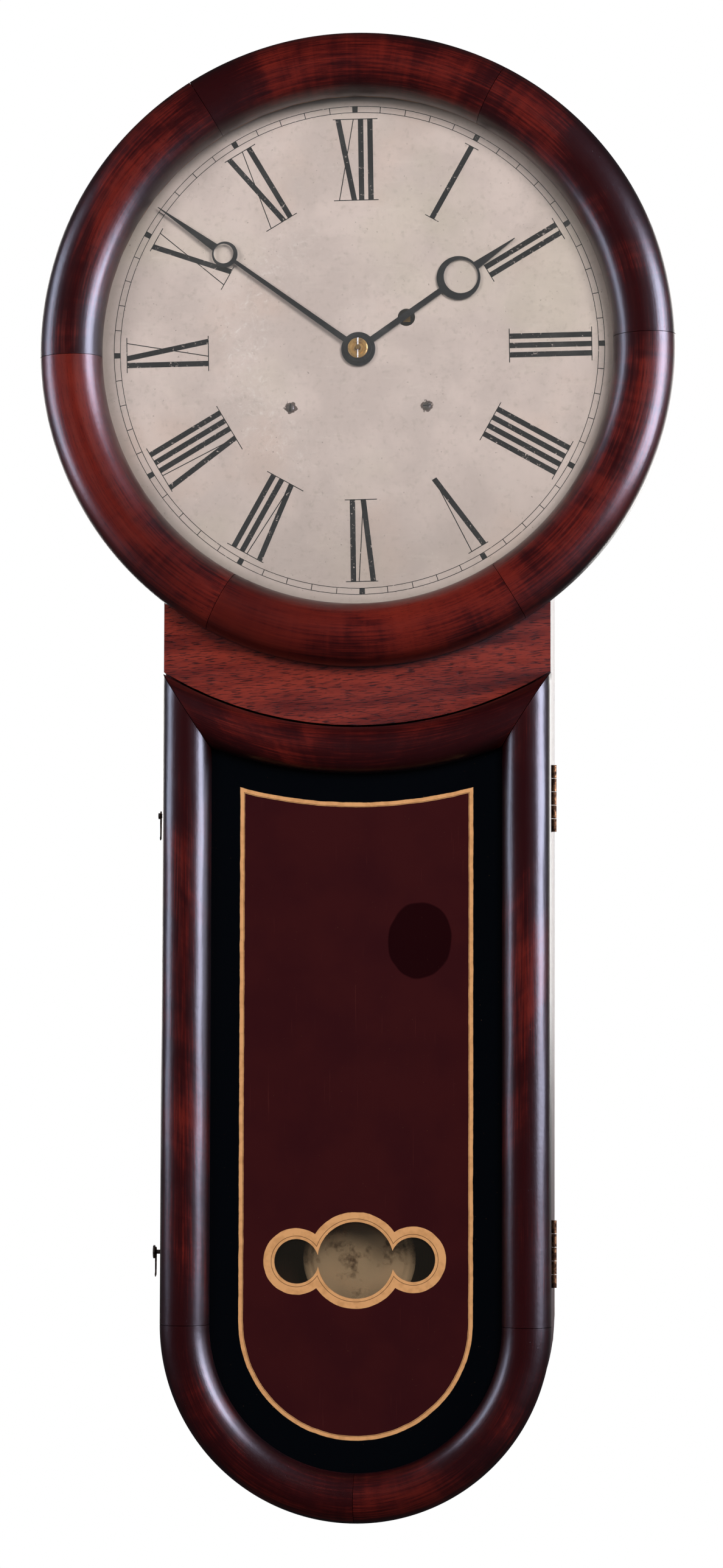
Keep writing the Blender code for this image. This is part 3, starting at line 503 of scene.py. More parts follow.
def library():
    """Every finish of the clock, made once and kept by name."""
    if bpy.context.scene.get("clock_finishes"):
        return {key: bpy.data.materials[value] for key, value in bpy.context.scene["clock_finishes"].items()}
    neck = (srgb(44, 9, 8), srgb(102, 28, 20), srgb(140, 48, 32))
    side = (srgb(36, 10, 12), srgb(88, 32, 30), srgb(118, 50, 44))
    # Painted shade: the weight baffle behind the tablet's windows gets these dark tones for the shade inside the
    # closed case.
    shaded = (srgb(20, 12, 8), srgb(38, 22, 15), srgb(52, 32, 22))
    pine = (srgb(74, 48, 30), srgb(124, 88, 56), srgb(154, 116, 78))
    upright = (0, radians(90), 0)
    made = {
        "neck": straight_wood("neck mahogany", *neck, turn=(0, radians(4), 0), rough=0.40, coat=0.15),
        "side": straight_wood("case side mahogany", *side, turn=upright, rough=0.32, coat=0.4, flecks=0.4),
        "head": straight_wood("head case mahogany", *side, grain=(12, 12, 60), rough=0.36, coat=0.3, flecks=0.4),
        "inner_shade": straight_wood("sooty inner board", *shaded, turn=upright, rough=0.8, coat=0.0, flecks=0.3),
        "pine": straight_wood("aged pine", *pine, turn=upright, rough=0.6, coat=0.0, flecks=0.25),
        "rod": straight_wood("varnished rod", *pine, turn=upright, rough=0.35, coat=0.4, flecks=0.2),
        "brass": metal("tarnished brass", srgb(206, 162, 92), srgb(120, 88, 50), 0.34, 0.4, metallic=0.5),
        "plate_brass": metal("movement brass", srgb(186, 146, 82), srgb(124, 92, 50), 0.30, 0.3, 60, 0.7),
        # Painted shade: the front plate, seen down the winding hole, is darkened for the shade in the hole; its
        # clouds are tarnish.
        "shaded_brass": metal("dark plate brass", srgb(92, 70, 42), srgb(48, 36, 22), 0.40, 0.6, 60, 0.5),
        "hinge_brass": metal("hinge brass", srgb(128, 92, 62), srgb(52, 34, 24), 0.42, 0.9, 380),
        "bob": metal("bob brass", srgb(222, 188, 146), srgb(112, 86, 62), 0.24, 0.42, 45, 0.5, spun=True),
        "steel": metal("dull steel", srgb(112, 104, 98), srgb(56, 44, 38), 0.38, 0.6, 420, 0.6),
        "bright_steel": metal("bright steel", srgb(224, 220, 214), srgb(140, 128, 112), 0.25, 0.2, 300, 0.4),
        "blued": metal("blued steel", srgb(18, 22, 27), srgb(34, 32, 33), 0.36, 0.35, 240, metallic=0.1),
        "iron": metal("cast iron", srgb(44, 42, 42), srgb(70, 52, 42), 0.6, 0.5, 120),
        "dial": dial_paint(),
        "ink": ink("numeral black", srgb(9, 13, 18)),
        "hairline": ink("hairline black", srgb(10, 12, 16), 0.12),
        "tablet": tablet_paint(),
        "glass": clear_glass(),
        "cord": twisted_cord(),
    }
    bpy.context.scene["clock_finishes"] = {key: item.name for key, item in made.items()}
    return made


# --- Meshes ---


def piece(name, points, faces, finish, body, replaced=(), smooth=True, own_map=None):
    """A finished piece from arrays of points and faces, riding on a body."""
    mesh = bpy.data.meshes.new(name)
    mesh.from_pydata(np.asarray(points).tolist(), [], [list(f) for f in faces])
    if own_map is not None:
        layer = mesh.uv_layers.new(name="own")
        loops = np.empty(len(mesh.loops), dtype=np.int32)
        mesh.loops.foreach_get("vertex_index", loops)
        layer.data.foreach_set("uv", np.asarray(own_map, dtype=np.float32)[loops].ravel())
    mesh.materials.append(finish)
    if smooth:
        mesh.shade_smooth()
        mesh.set_sharp_from_angle(angle=SHARP_ANGLE)
    item = bpy.data.objects.new(name, mesh)
    bpy.context.collection.objects.link(item)
    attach(item, body)
    if replaced:
        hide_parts(*replaced)
    return item


def grid_faces(rows, columns, close_rows=False, close_columns=False):
    """Quads of a grid of rows x columns points, closed along either way."""
    r = np.arange(rows if close_rows else rows - 1)
    c = np.arange(columns if close_columns else columns - 1)
    a, b = np.meshgrid(r, c, indexing="ij")
    a, b = a.ravel(), b.ravel()
    a2, b2 = (a + 1) % rows, (b + 1) % columns
    return np.stack([a * columns + b, a * columns + b2, a2 * columns + b2, a2 * columns + b], axis=1)


def round_angles(columns):
    """Even angles round a full turn, without the last one."""
    return np.arange(columns) * tau / columns


def arc(radius, start, end, steps, centre=(0.0, 0.0)):
    """Points centre + radius (sin a, cos a) for a from start to end: clockwise from twelve o'clock."""
    a = np.linspace(start, end, steps + 1)
    return np.stack([centre[0] + radius * np.sin(a), centre[1] + radius * np.cos(a)], axis=1)


def outward(points, faces):
    """Turns all faces of a closed mesh over if it encloses a negative volume. Each face with corners a, b, c, ...
    counts a . (b x c) for every triangle of its fan."""
    p, total = np.asarray(points), 0.0
    for corners in {len(face) for face in faces}:
        rows = p[np.array([face for face in faces if len(face) == corners])]
        total += (rows[:, :1] * np.cross(rows[:, 1:-1], rows[:, 2:])).sum()
    return [tuple(face)[::-1] for face in faces] if total < 0 else [tuple(face) for face in faces]


def moulding(name, inner, outer, section, finish, body, replaced, ripple=0.0):
    """A half-round moulding between paired paths. Point (t, u) is inner(t) + u (outer(t) - inner(t)) in the x-z
    plane at the section's depth; its own map is the length along the middle and the distance from the middle."""
    inner, outer = np.asarray(inner), np.asarray(outer)
    share = np.array([u for u, _ in section])[None, :, None]
    depth = np.array([y for _, y in section])
    flat = inner[:, None, :] + (outer - inner)[:, None, :] * share
    points = np.empty((*flat.shape[:2], 3))
    points[..., 0], points[..., 2] = flat[..., 0], flat[..., 1]
    middle = (inner + outer) / 2
    along = np.concatenate([[0], np.cumsum(np.linalg.norm(np.diff(middle, axis=0), axis=1))])
    # Handwork: the crown of the moulding rises and falls a little along its length.
    wander = ripple * np.sin(along * 61 + 1.3) * np.sin(along * 23)
    crown = depth > depth.max() - 0.004
    points[..., 1] = -(depth[None, :] + wander[:, None] * crown[None, :])
    rows, columns = points.shape[:2]
    width = np.linalg.norm(outer - inner, axis=1)
    own = np.empty((rows, columns, 2))
    own[..., 0] = along[:, None]
    own[..., 1] = (share[0, :, 0] - 0.5)[None, :] * width[:, None]
    faces = grid_faces(rows, columns, close_columns=True).tolist()
    faces += [list(range(columns)), list(range((rows - 1) * columns, rows * columns))[::-1]]
    points = points.reshape(-1, 3)
    faces = outward(points, faces)
    return piece(name, points, faces, finish, body, replaced, own_map=own.reshape(-1, 2))


def half_round(nodes, edge_rise, rebate, steps):
    """Section of a half-round moulding inside its CAD nodes' depths: share u = (1 - cos t) / 2 and depth = edge +
    rise (sin t)^fullness, on a straight edge, with a rebate behind its inner edge."""
    fullness = 0.96
    low, high = span(*nodes)
    back, crown = -high[1], -low[1]
    edge = back + edge_rise
    t = np.linspace(0, pi, steps + 1)
    curve = list(zip(0.5 - 0.5 * np.cos(t), edge + (crown - edge) * np.sin(t) ** fullness))
    share, depth = rebate
    return [(1.0, back), (share, back), (share, depth), (0.0, depth), *curve]


def turned(name, profile, centre, steps, finish, body, replaced=(), capped=False):
    """A turned piece about an axis through centre along y: point (t, a) is radius(t) (sin a, cos a) at depth(t).
    A capped profile is open and ends in two discs; any other closes on itself into a ring."""
    radius = np.array([r for r, _ in profile])
    depth = np.array([d for _, d in profile])
    a = round_angles(steps)
    points = np.empty((len(profile), steps, 3))
    points[..., 0] = centre[0] + radius[:, None] * np.sin(a)
    points[..., 1] = -depth[:, None]
    points[..., 2] = centre[1] + radius[:, None] * np.cos(a)
    faces = grid_faces(len(profile), steps, close_rows=not capped, close_columns=True).tolist()
    if capped:
        faces += [list(range(steps))[::-1], list(range((len(profile) - 1) * steps, len(profile) * steps))]
    points = points.reshape(-1, 3)
    return piece(name, points, outward(points, faces), finish, body, replaced)


def strand(reach, axis, z):
    """Points and faces of a solid along z: row i, column j lies reach[i, j] from the axis at height z[i]."""
    rows, columns = reach.shape
    a = round_angles(columns)
    heights = np.repeat(z[:, None], columns, 1)
    points = np.stack([axis[0] + reach * np.sin(a), axis[1] + reach * np.cos(a), heights], axis=2).reshape(-1, 3)
    faces = grid_faces(rows, columns, close_columns=True).tolist()
    faces += [list(range(columns))[::-1], list(range((rows - 1) * columns, rows * columns))]
    return points, outward(points, faces)


def slab(outline, depths):
    """Points and faces of a flat closed piece: a ring of points at two depths, capped by polygons."""
    outline = np.asarray(outline)
    count = len(outline)
    points = np.concatenate([np.stack([outline[:, 0], np.full(count, -d), outline[:, 1]], axis=1) for d in depths])
    faces = [[i, (i + 1) % count, (i + 1) % count + count, i + count] for i in range(count)]
    faces += [list(range(count))[::-1], list(range(count, 2 * count))]
    return points, outward(points, faces)


def gathered(parts):
    """One list of points and faces from several."""
    points, faces, base = [], [], 0
    for p, f in parts:
        points.append(p)
        faces += [[i + base for i in face] for face in f]
        base += len(p)
    return np.concatenate(points), faces


def turn(points, angle, centre=(0.0, 0.0)):
    """Turns x-z points clockwise, as seen from the front, about a centre."""
    p = np.asarray(points) - centre
    c, s = cos(angle), sin(angle)
    return np.stack([p[:, 0] * c + p[:, 1] * s, p[:, 1] * c - p[:, 0] * s], axis=1) + centre


# --- Pieces ---


def case_walls():
    """Bent walls of the head and of the trunk's foot, and the ring that the dial lies on."""
    finishes, steps, eased = library(), 160, 0.0006
    # The drum is open below, where the trunk enters it.
    drum_reach = pi - 0.655
    bends = (
        ("head_drum", "head_case", (0.0, HEAD_Z), drum_reach, 0.0, "head"),
        ("foot_bend", "bottom_bend", (0.0, FOOT_Z), pi / 2, pi, "side"),
    )
    for name, node, centre, reach, middle, finish in bends:
        low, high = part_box(node)
        radius, back, front = high[0], -high[1], -low[1]
        inner = arc(radius - WALL, middle - reach, middle + reach, steps, centre)
        outer = arc(radius, middle - reach, middle + reach, steps, centre)
        section = [(1, back), (0, back), (0, front - eased), (0.08, front), (0.92, front), (1, front - eased)]
        moulding(name, inner, outer, section, finishes[finish], "case", [node])
    # Corners of the seat's section, as radius and depth
    seat = [(0.132, 0.079), (0.150, 0.079), (0.150, 0.084), (0.132, 0.084)]
    turned("dial_seat", seat, (0.0, HEAD_Z), steps, finishes["head"], "case")


def bezel():
    section = half_round(SEGMENTS, 0.0064, (0.16, 0.0990), 36)
    seam, steps, centre = 0.0009, 72, (0.0, HEAD_Z)
    for index, name in enumerate(SEGMENTS):
        start, end = JOINTS_AT[index] + seam, JOINTS_AT[index + 1] - seam
        finish = veneer(f"bezel veneer {index + 1}", 3.1 + 2.7 * index, 1.0, SEGMENT_TONES[index])
        inner = arc(BEZEL_OPENING_R, start, end, steps, centre)
        outer = arc(BEZEL_R - 0.0001, start, end, steps, centre)
        moulding(f"bezel_veneer_{index + 1}", inner, outer, section, finish, "bezel", [name], ripple=0.0002)


def trunk_door():
    nodes = ("door_stile_left", "door_stile_right")
    section = half_round(nodes, 0.0083, (0.2, 0.0913), 30)
    stile_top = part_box("door_stile_left")[1][2]
    stile_foot = FOOT_Z + 0.0002
    inner_top = HEAD_Z - sqrt(RAIL_INNER_R**2 - DOOR_INNER**2)
    # The feet stop short of the stiles by the first angle, and of each other by the second.
    stile_gap, foot_gap, rail_gap = 0.0010, 0.0012, 0.0004
    for side, sign in (("left", -1), ("right", 1)):
        share = np.linspace(0, 1, 60)[:, None]
        inner = (1 - share) * (sign * DOOR_INNER, inner_top) + share * (sign * DOOR_INNER, stile_foot)
        outer = (1 - share) * (sign * DOOR_HALF, stile_top) + share * (sign * DOOR_HALF, stile_foot)
        finish = veneer(f"stile veneer {side}", 20.5 + 6 * sign, 0.7, -0.03, 0.6)
        moulding(f"stile_{side}", inner, outer, section, finish, "trunk_door", [f"door_stile_{side}"], ripple=0.0002)
        if sign > 0:
            start, end = pi / 2 + stile_gap, pi - foot_gap
        else:
            start, end = pi + foot_gap, 1.5 * pi - stile_gap
        finish = veneer(f"foot veneer {side}", 31.5 + 6 * sign, 0.7, -0.05, 0.7)
        inner = arc(DOOR_INNER, start, end, 72, (0, FOOT_Z))
        outer = arc(DOOR_HALF, start, end, 72, (0, FOOT_Z))
        moulding(f"foot_{side}", inner, outer, section, finish, "trunk_door", [f"door_foot_{side}"])
    x = np.linspace(-1, 1, 81)
    inner_z = HEAD_Z - np.sqrt(RAIL_INNER_R**2 - (x * DOOR_INNER) ** 2)
    outer_z = HEAD_Z - np.sqrt(RAIL_R**2 - (x * DOOR_HALF) ** 2)
    inner = np.stack([x * (DOOR_INNER - rail_gap), inner_z], axis=1)
    outer = np.stack([x * (DOOR_HALF - rail_gap), outer_z], axis=1)
    finish = veneer("top rail veneer", 44.0, 0.7, -0.03, 0.7)
    moulding("top_rail", inner, outer, section, finish, "trunk_door", ["door_top_rail"])


def numeral_strokes(word):
    """Strokes of one numeral as (x at the foot, x at the top, half width), left to right, and the numeral's width.
    Feet point to the dial's centre."""
    shapes = {
        "I": [(0, 0, THICK_STROKE)],
        "V": [(0.0012, -0.0036, THICK_STROKE), (0.0012, 0.0040, THIN_STROKE)],
        "X": [(0.0040, -0.0042, THICK_STROKE), (-0.0040, 0.0040, THIN_STROKE)],
    }
    widths = {"I": 0.0050, "V": 0.0090, "X": 0.0108}
    total = sum(widths[letter] for letter in word)
    strokes, at = [], -total / 2
    for letter in word:
        middle = at + widths[letter] / 2
        strokes += [(middle + foot, middle + top, half) for foot, top, half in shapes[letter]]
        at += widths[letter]
    return strokes, total


def flat_ring(radius, half, depths, steps=180):
    """Points and faces of a flat ring about the dial's axis, as a closed strip through four circles."""
    a = np.linspace(0, tau, steps + 1)[:-1]
    corners = [(radius - half, depths[0]), (radius - half, depths[1])]
    corners += [(radius + half, depths[1]), (radius + half, depths[0])]
    circles = np.array([[r * np.sin(a), np.full(steps, -depth), r * np.cos(a)] for r, depth in corners])
    points = circles.transpose(0, 2, 1).reshape(-1, 3)
    return points, outward(points, grid_faces(len(corners), steps, True, True).tolist())


def dial_print():
    """Paint that stands just proud of the dial. The foot of a V has no serif."""
    s = settings()
    finishes = library()
    low_r, high_r = s.numeral_r
    track_inner = s.track_r - TRACK_WIDTH
    depths = (-DIAL_Y + 0.00002, -DIAL_Y + 0.00007)
    thick, thin = [], []

    def bar(x_low, x_high, z_low, z_high, half, angle, group):
        box = [(x_low - half, z_low), (x_low + half, z_low), (x_high + half, z_high), (x_high - half, z_high)]
        group.append(slab(turn(box, angle), depths))

    for hour, word in enumerate(ROMAN, start=1):
        angle = tau * hour / len(ROMAN) + s.dial_turn
        strokes, total = numeral_strokes(word)
        for foot, top, half in strokes:
            bar(foot, top, low_r, high_r, half, angle, thick if half == THICK_STROKE else thin)
        reach = total / 2 + SERIF_OVERHANG
        serif_radii = (high_r,) if word == "V" else (high_r, low_r)
        for radius in serif_radii:
            bar(0.0, 0.0, radius - SERIF_HALF, radius + SERIF_HALF, reach, angle, thin)
        block = [(-0.0014, track_inner), (0.0014, track_inner), (0.0015, s.track_r), (-0.0015, s.track_r)]
        thick.append(slab(turn(block, angle), depths))
    for minute in range(MINUTES):
        if minute % 5:
            angle = tau * minute / MINUTES + s.dial_turn
            bar(0.0, 0.0, track_inner, s.track_r, MINUTE_HALF, angle, thin)
    thin += [flat_ring(radius, RING_HALF, depths) for radius in (s.track_r, track_inner)]
    for name, parts, finish in (("numerals", thick, "ink"), ("hairlines", thin, "hairline")):
        points, faces = gathered(parts)
        piece(f"dial_{name}", points, faces, finishes[finish], "case", smooth=False)


def dial_screws():
    """Small round-headed screws, each slot drawn as a thin black bar of painted shade. The head is a dome of depth h
    sqrt(1 - (r/R)^2).
    """
    finishes, rim = library(), 0.0004
    for side, slot_angle in (("left", 0.06), ("right", 1.45)):
        low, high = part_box(f"dial_screw_{side}")
        centre = ((low[0] + high[0]) / 2, (low[2] + high[2]) / 2)
        radius, base, top = (high[0] - low[0]) / 2, -high[1], -low[1]
        shares = np.linspace(1, 0.04, 10)
        profile = [(radius * 0.2, base), (radius, base), (radius, base + rim)]
        profile += [(radius * u, base + rim + (top - base - rim) * sqrt(max(0, 1 - u * u))) for u in shares]
        node = f"dial_screw_{side}"
        turned(f"dial_screw_head_{side}", profile, centre, 28, finishes["steel"], "case", [node], True)
        # Painted shade: the slot is a black bar that stands for the shade in the cut.
        half, wide = radius * 0.97, 0.00030
        box = [(-wide, -half), (wide, -half), (wide, half), (-wide, half)]
        points, faces = slab(turn(np.asarray(box), slot_angle) + centre, (top - 0.0004, top + 0.00003))
        piece(f"dial_screw_slot_{side}", points, faces, finishes["ink"], "case", smooth=False)


class Hand(NamedTuple):
    """Sizes of a moon hand in metres. Places are distances from its axis, and depths are from the wall."""

    hub_r: float
    root_half: float
    ring_at: float
    ring_r: float
    neck_half: float
    hole_at: float
    hole_r: float
    tip_at: float
    pipe_r: float
    near: float
    far: float


HOUR_HAND = Hand(0.0091, 0.0017, 0.0654, 0.0117, 0.0015, 0.0669, 0.0091, 0.1020, 0.0034, 0.0868, 0.0877)
MINUTE_HAND = Hand(0.0072, 0.0016, 0.0880, 0.0069, 0.0010, 0.0888, 0.0053, 0.1324, 0.0023, 0.0888, 0.0897)


def hand(name, node, body, angle, sizes):
    """A moon hand: outline = hub arc, straight arm, eccentric ring, long point; holes for the pipe and the moon.
    It is drawn as a filled curve with eased edges, so the holes stay open."""
    eased, point_half = 0.00012, 0.0022
    curve = bpy.data.curves.new(name, "CURVE")
    curve.dimensions, curve.fill_mode = "2D", "BOTH"
    curve.extrude = (sizes.far - sizes.near) / 2 - eased
    curve.bevel_depth = eased
    curve.bevel_resolution = 2
    curve.offset = -eased
    ring_r, ring_centre = sizes.ring_r, (0, sizes.ring_at)
    lean, waist = asin(sizes.root_half / sizes.hub_r), asin(sizes.neck_half / ring_r)
    point = asin(point_half / ring_r)
    hub = arc(sizes.hub_r, lean, tau - lean, 72)
    left = arc(ring_r, pi + waist, tau - point, 48, ring_centre)
    right = arc(ring_r, point, pi - waist, 48, ring_centre)
    spread = np.linspace(0.0021, 0.0002, 10)
    heights = np.linspace(left[-1][1] + 0.001, sizes.tip_at, 10)
    tip_left = np.stack([-spread, heights], axis=1)
    tip_right = np.stack([spread, heights], axis=1)[::-1]
    outline = np.concatenate([hub, left, tip_left, tip_right, right])
    pipe_hole = arc(sizes.pipe_r, 0, tau, 40)[:-1]
    moon_hole = arc(sizes.hole_r, 0, tau, 72, (0, sizes.hole_at))[:-1]
    for loop in (outline, pipe_hole, moon_hole):
        spline = curve.splines.new("POLY")
        spline.points.add(len(loop) - 1)
        at = turn(loop, angle)
        flat = np.stack([at[:, 0], at[:, 1], np.zeros(len(loop)), np.ones(len(loop))], axis=1)
        spline.points.foreach_set("co", flat.astype(np.float32).ravel())
        spline.use_cyclic_u = True
    drawn = bpy.data.objects.new(name + "_outline", curve)
    bpy.context.collection.objects.link(drawn)
    mesh = bpy.data.meshes.new_from_object(drawn)
    bpy.data.objects.remove(drawn)
    mesh.transform(Euler((pi / 2, 0, 0)).to_matrix().to_4x4())
    points = np.empty(len(mesh.vertices) * 3)
    mesh.vertices.foreach_get("co", points)
    points = points.reshape(-1, 3)
    points[:, 1] -= (sizes.near + sizes.far) / 2
    faces = [tuple(p.vertices) for p in mesh.polygons]
    item = piece(name, points, faces, library()["blued"], body, [node])
    weld = item.modifiers.new("close the rim", "WELD")
    weld.merge_threshold = 0.00001


def hands():
    s, finishes = settings(), library()
    hand("hour_moon_hand", "hour_hand", "hour_hand_pipe", s.hour_at, HOUR_HAND)
    hand("minute_moon_hand", "minute_hand", "minute_hand_arbor", s.minute_at, MINUTE_HAND)
    rim = [(0.0042 + 0.0012 * cos(a), 0.0914 + 0.0008 * sin(a)) for a in np.linspace(0, pi, 13)]
    profile = [(0.0016, 0.0908), (0.0054, 0.0908), *rim[1:-1], (0.0028, 0.0913), (0.0016, 0.0916)]
    turned("dished_collet", profile, (0, 0), 56, finishes["brass"], "minute_hand_arbor", ["hand_collet"])
    low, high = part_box("taper_pin")
    rows, columns, clear = 24, 16, 0.00003
    z = np.linspace(low[2] + clear, high[2] - clear, rows)
    radius = 0.00022 + 0.00017 * np.linspace(0, 1, rows)
    points, faces = strand(np.tile(radius[:, None], columns), (0.0, (low[1] + high[1]) / 2), z)
    steel = finishes["bright_steel"]
    piece("steel_taper_pin", points, faces, steel, "minute_hand_arbor", ["taper_pin"])


def pendulum():
    """The bob is a shallow lens, depth = h (1 - (r/R)^2)^0.6, with a pressed line near its rim."""
    front, back = -BOB_LOW[1], -BOB_HIGH[1]
    middle, half, rim = (front + back) / 2, (front - back) / 2, 0.0008
    line_at, line_width, line_depth = 0.86, 0.02, 0.0004
    u = np.linspace(0.02, 1, 40)
    swell = (half - rim) * (1 - u**2) ** 0.6 + rim
    swell = swell - line_depth * np.exp(-(((u - line_at) / line_width) ** 2))
    profile = [(BOB_R * r, middle + h) for r, h in zip(u, swell)]
    profile += [(BOB_R * r, middle - h) for r, h in zip(u[::-1], swell[::-1])]
    centre = (BOB_CENTRE[0], BOB_CENTRE[2])
    turned("brass_bob", profile, centre, 128, library()["bob"], "pendulum", ["pendulum_bob"], True)
    low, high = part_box("rating_nut")
    knurls, chamfer = 24, np.array([0.90, 0.97, 0.97, 0.97, 0.90])
    knurl = 1 + 0.03 * np.sign(np.sin(round_angles(4 * knurls) * knurls))
    radius = (high[0] - low[0]) / 2 * chamfer
    z = np.linspace(low[2], high[2], len(chamfer))
    points, faces = strand(radius[:, None] * knurl[None, :], (0.0, (low[1] + high[1]) / 2), z)
    piece("knurled_nut", points, faces, library()["brass"], "pendulum", ["rating_nut"])


def cords():
    """Weight cord: a round strand whose own map winds with its lay."""
    rise = next(joint for joint in frame["joints"] if joint["name"] == "weight_rise")["range_m"][1]
    rows, columns, finish = 240, 12, library()["cord"]
    lay_depth, lay_turns, map_turns = 0.10, 2400, 150
    a = round_angles(columns)
    for name in ("cord_drum_run", "cord_fixed_run"):
        low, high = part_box(name)
        middle = (low + high) / 2
        radius = (high[0] - low[0]) / 2
        z = np.linspace(low[2], high[2], rows)
        lay = 1 - lay_depth * np.abs(np.sin(1.5 * (a[None, :] - z[:, None] * lay_turns)))
        points, faces = strand(radius * lay, middle, z)
        winding = np.repeat(z[:, None], columns, 1) * map_turns + a[None, :] / tau
        own = np.stack([winding, np.zeros((rows, columns))], axis=2).reshape(-1, 2)
        item = piece(f"{name}_strand", points, faces, finish, "case", [name], own_map=own)
        length = high[2] - low[2]
        float((length - rise) / length)
        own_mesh(item)


def paint_nodes():
    """Finishes of the CAD nodes whose shapes are already right."""
    finishes = library()
    given = {
        "neck": ["neck_panel"],
        "side": ["side_left", "side_right"],
        "pine": ["back_board", "tablet_bead", "glass_bead"],
        "inner_shade": ["weight_baffle"],
        # Painted shade: the baffle is dark for the shade inside the case.
        "rod": ["pendulum_rod"],
        "dial": ["dial"],
        "plate_brass": ["back_plate", "suspension_bridge", "great_wheel", "winding_drum", "centre_wheel"]
        + ["third_wheel", "escape_wheel", "cannon_pinion", "minute_wheel", "hour_wheel", "pulley"],
        "hinge_brass": ["upper_hinge_case_leaf", "lower_hinge_case_leaf", "upper_hinge_door_leaf"]
        + ["lower_hinge_door_leaf", "bezel_hinge_case_leaf", "bezel_hinge_leaf", "hook_upper", "hook_lower"],
        "steel": ["hook_screw_upper", "hook_screw_lower", "hanger_plate", "verge", "suspension_spring"],
        # Painted shade: the front plate is dark for the shade down the winding hole.
        "shaded_brass": ["front_plate"],
        "iron": ["weight"],
        "tablet": ["tablet_glass"],
        "glass": ["dial_glass"],
    }
    for key, nodes in given.items():
        for node in nodes:
            item = frame["nodes"][node]
            item.data.materials.clear()
            item.data.materials.append(finishes[key])


def soft_box(name, at, turn_to, size, power, colour, only):
    """A soft area light that only the polish shows, or only the paint and wood under it, or both."""
    light = bpy.data.lights.new(name, "AREA")
    light.shape, light.size, light.size_y = "RECTANGLE", *size
    light.energy, light.color = power, colour
    item = bpy.data.objects.new(name, light)
    item.location = at
    item.rotation_euler = Euler([radians(a) for a in turn_to])
    item.visible_glossy, item.visible_diffuse = only != "diffuse", only != "glossy"
    bpy.context.collection.objects.link(item)


def place_camera():
    """A long lens, a little to the right of the clock's middle and looking slightly up at it."""
    item = bpy.data.objects.new("camera", bpy.data.cameras.new("camera"))
    item.data.lens, item.data.sensor_width, item.data.clip_end = 95.67, 36.0, 50
    yaw, pitch, roll = 0.0689, 0.0589, -0.0025
    distance, aim = 2.2, (0.0031, -0.0943, -0.2327)
    item.location = (
        aim[0] + distance * sin(yaw) * cos(pitch),
        aim[1] - distance * cos(yaw) * cos(pitch),
        aim[2] - distance * sin(pitch),
    )
    item.rotation_euler = Euler((pi / 2 + pitch, roll, yaw))
    bpy.context.collection.objects.link(item)
    bpy.context.scene.camera = item


def lay_floor():
    """A pale floor with its own faint glow, which neither lights the clock nor shows in its polish."""
    mesh = bpy.data.meshes.new("floor")
    side, z = FLOOR_HALF, float(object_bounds()[0][2]) - FLOOR_DROP
    mesh.from_pydata([(-side, -side, z), (side, -side, z), (side, side, z), (-side, side, z)], [], [(0, 1, 2, 3)])
    plain = Maker("pale floor")
    plain.put(plain.shader.inputs["Emission Strength"], 0.75)
    finish = plain.finish(Base_Color=(0.92, 0.92, 0.92), Emission_Color=(0.95, 0.96, 1.0), Roughness=0.9)
    mesh.materials.append(finish)
    floor = bpy.data.objects.new("floor", mesh)
    floor.visible_diffuse = floor.visible_glossy = False
    bpy.context.collection.objects.link(floor)
    floor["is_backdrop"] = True


def light_world():
    """White to the camera, and nearly dark to every other ray, so that blacks stay black."""
    studio = bpy.data.worlds.new("studio")
    bpy.context.scene.world = studio
    studio.use_nodes = True
    tree = studio.node_tree
    dim, mixer = tree.nodes["Background"], tree.nodes.new("ShaderNodeMixShader")
    white, path = tree.nodes.new("ShaderNodeBackground"), tree.nodes.new("ShaderNodeLightPath")
    dim.inputs["Color"].default_value = (0.86, 0.90, 1.0, 1)
    dim.inputs["Strength"].default_value = 0.03
    white.inputs["Color"].default_value = (1, 1, 1, 1)
    white.inputs["Strength"].default_value = 1.0
    links = (
        (path.outputs["Is Camera Ray"], mixer.inputs[0]),
        (dim.outputs[0], mixer.inputs[1]),
        (white.outputs[0], mixer.inputs[2]),
        (mixer.outputs[0], tree.nodes["World Output"].inputs["Surface"]),
    )
    for start, end in links:
        tree.links.new(start, end)


def stage():
    """Everything round the clock: camera, floor, world and lights."""
    place_camera()
    lay_floor()
    light_world()
    for light in LIGHTS:
        soft_box(*light)
    bpy.context.scene.view_settings.view_transform = "Standard"


# --- Add-on ---


class Step:
    """Runs its work when its button is pressed."""

    def execute(self, context):
        self.work()
        return {"FINISHED"}


class CLOCK_OT_stage(Step, bpy.types.Operator):
    """Camera, floor, world and soft lights"""

    bl_idname, bl_label, work = "clock.stage", "Stage", staticmethod(stage)


class CLOCK_OT_case_finishes(Step, bpy.types.Operator):
    """Finishes of the case, movement, glass and fittings"""

    bl_idname, bl_label, work = "clock.case_finishes", "Case finishes", staticmethod(paint_nodes)


class CLOCK_OT_case_walls(Step, bpy.types.Operator):
    """Bent walls of the head and foot, and the dial's seat"""

    bl_idname, bl_label, work = "clock.case_walls", "Case walls", staticmethod(case_walls)


class CLOCK_OT_bezel(Step, bpy.types.Operator):
    """Six veneered segments of the half-round bezel"""

    bl_idname, bl_label, work = "clock.bezel", "Bezel", staticmethod(bezel)


class CLOCK_OT_trunk_door(Step, bpy.types.Operator):
    """Stiles, top rail and round foot of the trunk door"""

    bl_idname, bl_label, work = "clock.trunk_door", "Trunk door", staticmethod(trunk_door)


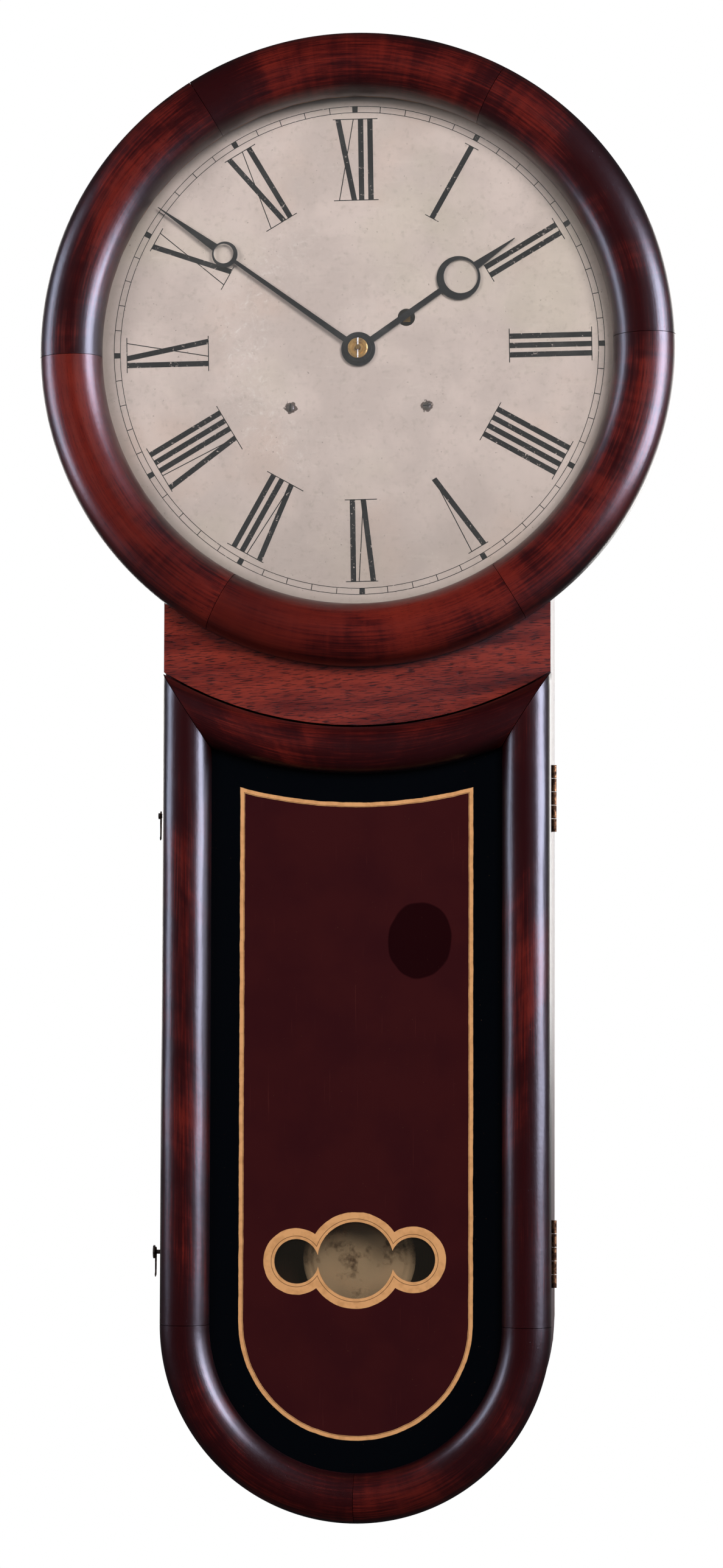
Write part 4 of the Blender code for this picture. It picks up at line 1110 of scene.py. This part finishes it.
class CLOCK_OT_dial_print(Step, bpy.types.Operator):
    """Numerals, minute track and hairlines of the dial"""

    bl_idname, bl_label, work = "clock.dial_print", "Dial print", staticmethod(dial_print)


class CLOCK_OT_dial_screws(Step, bpy.types.Operator):
    """Two slotted screws that hold the dial"""

    bl_idname, bl_label, work = "clock.dial_screws", "Dial screws", staticmethod(dial_screws)


class CLOCK_OT_hands(Step, bpy.types.Operator):
    """Moon hands, collet and taper pin"""

    bl_idname, bl_label, work = "clock.hands", "Hands", staticmethod(hands)


class CLOCK_OT_pendulum(Step, bpy.types.Operator):
    """Spun brass bob and its rating nut"""

    bl_idname, bl_label, work = "clock.pendulum", "Pendulum", staticmethod(pendulum)


class CLOCK_OT_cords(Step, bpy.types.Operator):
    """The two runs of the weight cord"""

    bl_idname, bl_label, work = "clock.cords", "Cords", staticmethod(cords)


# In the order that they run
OPERATORS = [CLOCK_OT_stage, CLOCK_OT_case_finishes, CLOCK_OT_case_walls, CLOCK_OT_bezel, CLOCK_OT_trunk_door]
OPERATORS += [CLOCK_OT_dial_print, CLOCK_OT_dial_screws, CLOCK_OT_hands, CLOCK_OT_pendulum, CLOCK_OT_cords]


class CLOCK_PT_panel(bpy.types.Panel):
    """Sizes, colours and the steps that dress the clock"""

    bl_label = "Pendulum wall clock"
    bl_idname = "CLOCK_PT_panel"
    bl_space_type = "VIEW_3D"
    bl_region_type = "UI"
    bl_category = "Clock"

    def draw(self, context):
        for name in ClockSettings.__annotations__:
            self.layout.prop(context.scene.clock_settings, name)
        for step in OPERATORS:
            self.layout.operator(step.bl_idname)


CLASSES = [ClockSettings, *OPERATORS, CLOCK_PT_panel]


def register():
    for item in CLASSES:
        bpy.utils.register_class(item)
    bpy.types.Scene.clock_settings = bpy.props.PointerProperty(type=ClockSettings)


def unregister():
    del bpy.types.Scene.clock_settings
    for item in reversed(CLASSES):
        bpy.utils.unregister_class(item)


def main():
    register()
    for step in OPERATORS:
        category, name = step.bl_idname.split(".")
        getattr(getattr(bpy.ops, category), name)()


if __name__ == "__main__":
    main()
